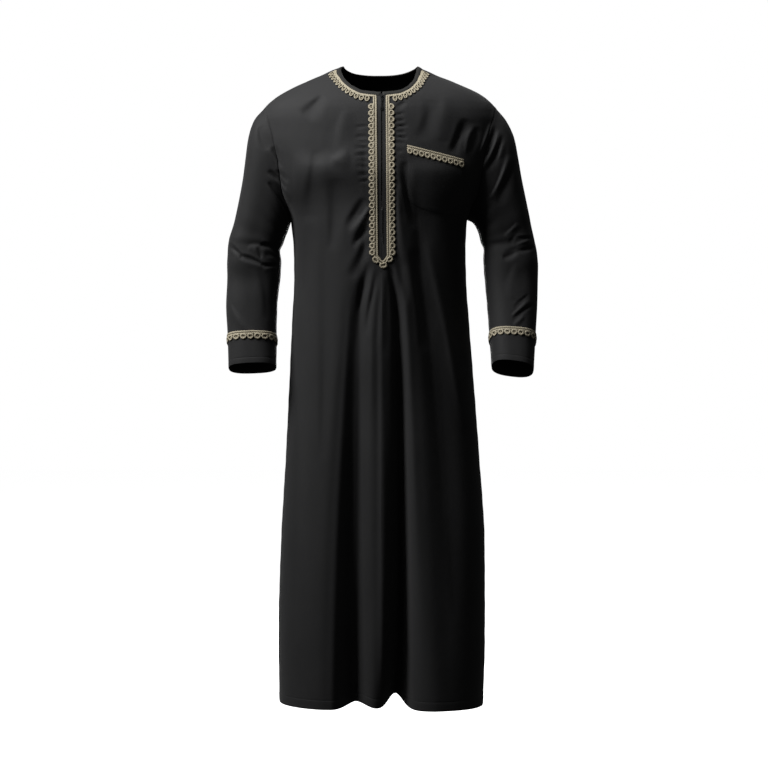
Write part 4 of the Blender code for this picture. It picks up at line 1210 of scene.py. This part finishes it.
def zip_teeth():
    """Two rows of small coils that meet in the slit."""
    top = SLIDER_Z - TEETH_ENDS[0]
    count = int((top - SLIT_Z - TEETH_ENDS[1]) / TOOTH_PITCH)
    points, faces, uvs = [], [], []
    sides = 6
    turn = 2.0 * math.pi * np.arange(sides) / sides
    sheath, spots = grid_faces(len(TOOTH_RINGS), sides, closed=True)
    for k in range(2 * count):
        side = 1.0 if k % 2 else -1.0
        seat = front_at(0.0, top - k * TOOTH_PITCH / 2)
        base = len(points)
        for reach, radius in TOOTH_RINGS:
            ring = triple(-side * reach, TEETH_SINK + radius * np.sin(turn), radius * np.cos(turn))
            points += list(seat + ring)
        faces += list(base + sheath) + [range(base, base + sides)]
        uvs += [spots, [(0, j) for j in range(sides)]]
    return new_mesh("zip_teeth", points, faces, uvs)


SOCKETS = {"rough": "Roughness", "specular": "Specular IOR Level", "sheen": "Sheen Weight",
           "sheen_rough": "Sheen Roughness", "base": "Base Color", "glow": "Emission Color",
           "glow_strength": "Emission Strength"}


class Paint:
    """A node material under construction."""

    def __init__(self, name, **settings):
        self.material = bpy.data.materials.new(name)
        self.material.use_nodes = True
        self.tree = self.material.node_tree
        self.shader = self.tree.nodes["Principled BSDF"]
        self.height = None
        for key, value in settings.items():
            self.shader.inputs[SOCKETS[key]].default_value = value

    def node(self, kind, **settings):
        made = self.tree.nodes.new("ShaderNode" + kind)
        for key, value in settings.items():
            if key in made.inputs:
                made.inputs[key].default_value = value
            else:
                setattr(made, key, value)
        return made

    def link(self, start, end):
        self.tree.links.new(start, end)

    def fed(self, kind, socket, source, **settings):
        """A node with one linked input."""
        made = self.node(kind, **settings)
        self.link(source, made.inputs[socket])
        return made

    def mapped(self, source, scale, turn=0.0):
        return self.fed("Mapping", "Vector", source, Scale=scale, Rotation=(0.0, 0.0, turn)).outputs[0]

    def weave_uv(self, scale, turn=0.0):
        return self.mapped(self.node("UVMap", uv_map="weave").outputs["UV"], scale, turn)

    def place(self, scale):
        return self.mapped(self.node("TexCoord").outputs["Object"], scale)

    def wave(self, vector, direction="X"):
        return self.fed("TexWave", "Vector", vector, bands_direction=direction, Scale=1.0).outputs[1]

    def noise(self, vector, scale, detail=3.0):
        return self.fed("TexNoise", "Vector", vector, Scale=scale, Detail=detail).outputs[0]

    def maths(self, operation, a, b):
        made = self.node("Math", operation=operation)
        for socket, value in zip(made.inputs, (a, b)):
            if isinstance(value, (int, float)):
                socket.default_value = value
            else:
                self.link(value, socket)
        return made.outputs[0]

    def sum_of(self, *parts):
        """Sum of sockets, each with its weight."""
        total = 0.0
        for socket, weight in parts:
            total = self.maths("ADD", total, self.maths("MULTIPLY", socket, weight))
        return total

    def colour(self, factor, stops):
        made = self.fed("ValToRGB", 0, factor)
        ramp = made.color_ramp
        while len(ramp.elements) < len(stops):
            ramp.elements.new(0.5)
        for element, (place, colour) in zip(ramp.elements, stops):
            element.position = place
            element.color = tuple(colour) + (1.0,)
        self.link(made.outputs[0], self.shader.inputs["Base Color"])

    def roughness(self, factor, low, high):
        made = self.fed("MapRange", "Value", factor, **{"To Min": low, "To Max": high})
        self.link(made.outputs[0], self.shader.inputs["Roughness"])

    def bump(self, height, strength, distance):
        made = self.fed("Bump", "Height", height, Strength=strength, Distance=distance)
        if self.height is not None:
            self.link(self.height, made.inputs["Normal"])
        self.height = made.outputs[0]
        self.link(self.height, self.shader.inputs["Normal"])


WAVE_PERIOD = 2.0 * math.pi / 20.0  # of a wave texture at scale 1
CORD_TURN = 10.0  # of the UV once round a cord, along which the braid's painted highlight and shade turn


def cloth_material(name, dark, light, thread=0.75):
    """Matt black twill: fine diagonal ribs, fibres, faint wear and soft unevenness."""
    paint = Paint(name, rough=0.7, specular=0.2, sheen=0.09, sheen_rough=0.45)
    per = WAVE_PERIOD / (thread * MM)
    rib = paint.wave(paint.weave_uv((per, per, per), math.radians(32.0)))
    cross = paint.wave(paint.weave_uv((per * 0.5, per * 1.3, per)), "Y")
    fibre = paint.noise(paint.weave_uv((900.0, 260.0, 1.0)), 1.0)
    cloudy = paint.noise(paint.place((1.0, 1.0, 0.6)), 9.0, 4.0)
    weave = paint.maths("MULTIPLY", rib, cross)
    tone = paint.sum_of((weave, 0.35), (fibre, 0.3), (cloudy, 0.5))
    paint.colour(tone, ((0.2, dark), (0.9, light)))
    paint.roughness(cloudy, 0.6, 0.78)
    rumple = paint.noise(paint.place((1.0, 1.0, 0.45)), 26.0, 2.0)
    paint.bump(rumple, 0.35, 0.0022)
    paint.bump(fibre, 0.3, 0.00012)
    paint.bump(weave, 0.35, 0.00016)
    return paint.material


def braid_material(name):
    """Twisted gold cord: slanting strands, with a painted highlight along the top of a cord and painted
    shade down its sides.
    """
    paint = Paint(name, rough=0.65, specular=0.08)
    strand_uv = paint.weave_uv((WAVE_PERIOD / (2.1 * MM), WAVE_PERIOD / (3.4 * MM), 1.0))
    strand = paint.wave(strand_uv, "DIAGONAL")
    fibre = paint.noise(paint.weave_uv((1500.0, 500.0, 1.0)), 1.0)
    cloudy = paint.noise(paint.place((1.0, 1.0, 1.0)), 40.0)
    parts = paint.node("SeparateXYZ")
    paint.link(paint.weave_uv((1.0, 2.0 * math.pi / (CORD_TURN * MM), 1.0)), parts.inputs[0])
    # painted light and shade: pale where a cord faces outwards, darker down its sides and underneath
    top = paint.maths("SINE", parts.outputs[1], 0.0)
    tone = paint.sum_of((strand, 0.3), (fibre, 0.2), (cloudy, 0.2), (top, 0.35))
    stops = ((0.25, (0.1, 0.078, 0.05)), (0.5, (0.29, 0.254, 0.18)), (0.85, (0.48, 0.436, 0.334)))
    paint.colour(tone, stops)
    paint.roughness(fibre, 0.55, 0.75)
    paint.bump(fibre, 0.3, 0.00012)
    paint.bump(strand, 0.6, 0.00035)
    return paint.material


def metal_material(name):
    """Black enamel on metal: paler where it has rubbed thin."""
    paint = Paint(name, rough=0.5, specular=0.12)
    cloudy = paint.noise(paint.place((1.0, 1.0, 1.0)), 260.0, 5.0)
    paint.colour(cloudy, ((0.3, (0.0015, 0.0015, 0.0015)), (0.75, (0.006, 0.006, 0.0065))))
    paint.roughness(cloudy, 0.4, 0.6)
    paint.bump(paint.noise(paint.place((1.0, 1.0, 1.0)), 2400.0), 0.2, 0.00005)
    return paint.material


def tape_material(name):
    """Woven zip tape: fine herringbone bands, matt black."""
    paint = Paint(name, rough=0.82, specular=0.2)
    spot = paint.place((WAVE_PERIOD / (1.1 * MM),) * 3)
    across = paint.wave(spot, "X")
    slanted = paint.wave(spot, "DIAGONAL")
    weave = paint.maths("MULTIPLY", across, slanted)
    paint.colour(weave, ((0.1, (0.0085, 0.0083, 0.0062)), (0.9, (0.027, 0.0262, 0.0195))))
    paint.bump(weave, 0.5, 0.0002)
    return paint.material


def dress(piece, material, body, slot, *nodes):
    piece.data.materials.append(material)
    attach(piece, body)
    if nodes:
        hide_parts(*nodes)


cloth = cloth_material("black_cloth", (0.010, 0.010, 0.0105), (0.024, 0.024, 0.0245))
# Darker copy of the black cloth for the sleeves: painted shade standing in for the dimmer light on them
sleeve_cloth_painted_shade = cloth_material("sleeve_cloth_painted_shade", (0.0074, 0.0074, 0.0078), (0.0178, 0.0178, 0.0182))
binding = cloth_material("binding", (0.008, 0.0077, 0.0068), (0.022, 0.0212, 0.0188), 0.6)
gold = braid_material("gold_braid")
metal = metal_material("zip_metal")
tape = tape_material("zip_tape")

# Panels and sleeves
front_points = panel(-1)
slit = np.zeros(front_points.shape[:2], bool)
slit[:, PANEL_COLUMNS] = front_points[:, PANEL_COLUMNS, 2] > SLIT_Z
dress(shell("front_cloth", front_points, CLOTH, skip=slit), cloth, "robe", "black_cloth", "front_panel")
dress(shell("back_cloth", panel(1), CLOTH), cloth, "robe", "black_cloth", "back_panel")
front_tree = tree_of(front_points)
sleeve_trees = {}
for side, name in ((-1, "sleeve_right"), (1, "sleeve_left")):
    grid = sleeve(side)
    dress(shell(name + "_cloth", grid, CLOTH, closed=True), sleeve_cloth_painted_shade, "robe", "black_cloth", name)
    sleeve_trees[side] = tree_of(grid, closed=True)

# Binding, pocket and braids
dress(neck_band(), binding, "robe", "binding", "neck_band")
pocket_points = pocket_grid(front_tree)
dress(shell("pocket_cloth", pocket_points, POCKET_THICK), cloth, "robe", "black_cloth", "pocket_patch")
dress(front_braid(front_tree), gold, "robe", "gold_braid", "braid_front")
dress(pocket_braid(front_tree, tree_of(pocket_points)), gold, "robe", "gold_braid", "braid_pocket")
for side, name in ((-1, "braid_cuff_right"), (1, "braid_cuff_left")):
    dress(cuff_braid(name + "_cords", side, sleeve_trees[side]), gold, "robe", "gold_braid", name)

# Zip
dress(zip_slider(), metal, "robe", "zip_metal", "zip_slider")
dress(zip_pull(), metal, "pull", "zip_metal", "zip_pull")
dress(zip_teeth(), tape, "robe", "zip_tape")
for name in ("zip_tape_right", "zip_tape_left"):
    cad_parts[name].data.materials.clear()
    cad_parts[name].data.materials.append(tape)

# Floor, light and camera
bpy.ops.mesh.primitive_plane_add(size=30.0, location=(0.0, 0.0, FLOOR_Z))
floor = bpy.context.object
floor.name = "floor"
floor.visible_diffuse = False
floor.visible_glossy = False
white = Paint("floor_white", rough=0.9, specular=0.0, base=(0.8, 0.8, 0.8, 1.0),
              glow=(1.0, 1.0, 1.0, 1.0), glow_strength=0.95)
floor.data.materials.append(white.material)

for name, watts, size, spot in LAMPS:
    light = bpy.data.lights.new(name, "AREA")
    light.energy = watts
    light.size = size
    lamp = add_object(name, light)
    lamp.location = spot
    lamp.rotation_euler = (Vector(spot) - Vector(LAMP_TARGET)).to_track_quat("Z", "Y").to_euler()

world = bpy.data.worlds.new("studio")
world.use_nodes = True
bpy.context.scene.world = world
sky = world.node_tree
plain = sky.nodes["Background"]
plain.inputs["Color"].default_value = (1.0, 1.0, 1.0, 1.0)
rays = sky.nodes.new("ShaderNodeLightPath")
level = sky.nodes.new("ShaderNodeMapRange")
level.inputs["To Min"].default_value = SKY_LIGHT
level.inputs["To Max"].default_value = 1.0
sky.links.new(rays.outputs["Is Camera Ray"], level.inputs["Value"])
sky.links.new(level.outputs[0], plain.inputs["Strength"])
bpy.context.scene.view_settings.view_transform = "Standard"

view = bpy.data.cameras.new("camera")
view.sensor_width = 36.0
view.lens = view.sensor_width * -CAMERA_SPOT[1] / VIEW_WIDTH
camera = add_object("camera", view)
camera.location = CAMERA_SPOT
camera.rotation_euler = (math.pi / 2, 0.0, 0.0)
bpy.context.scene.camera = camera
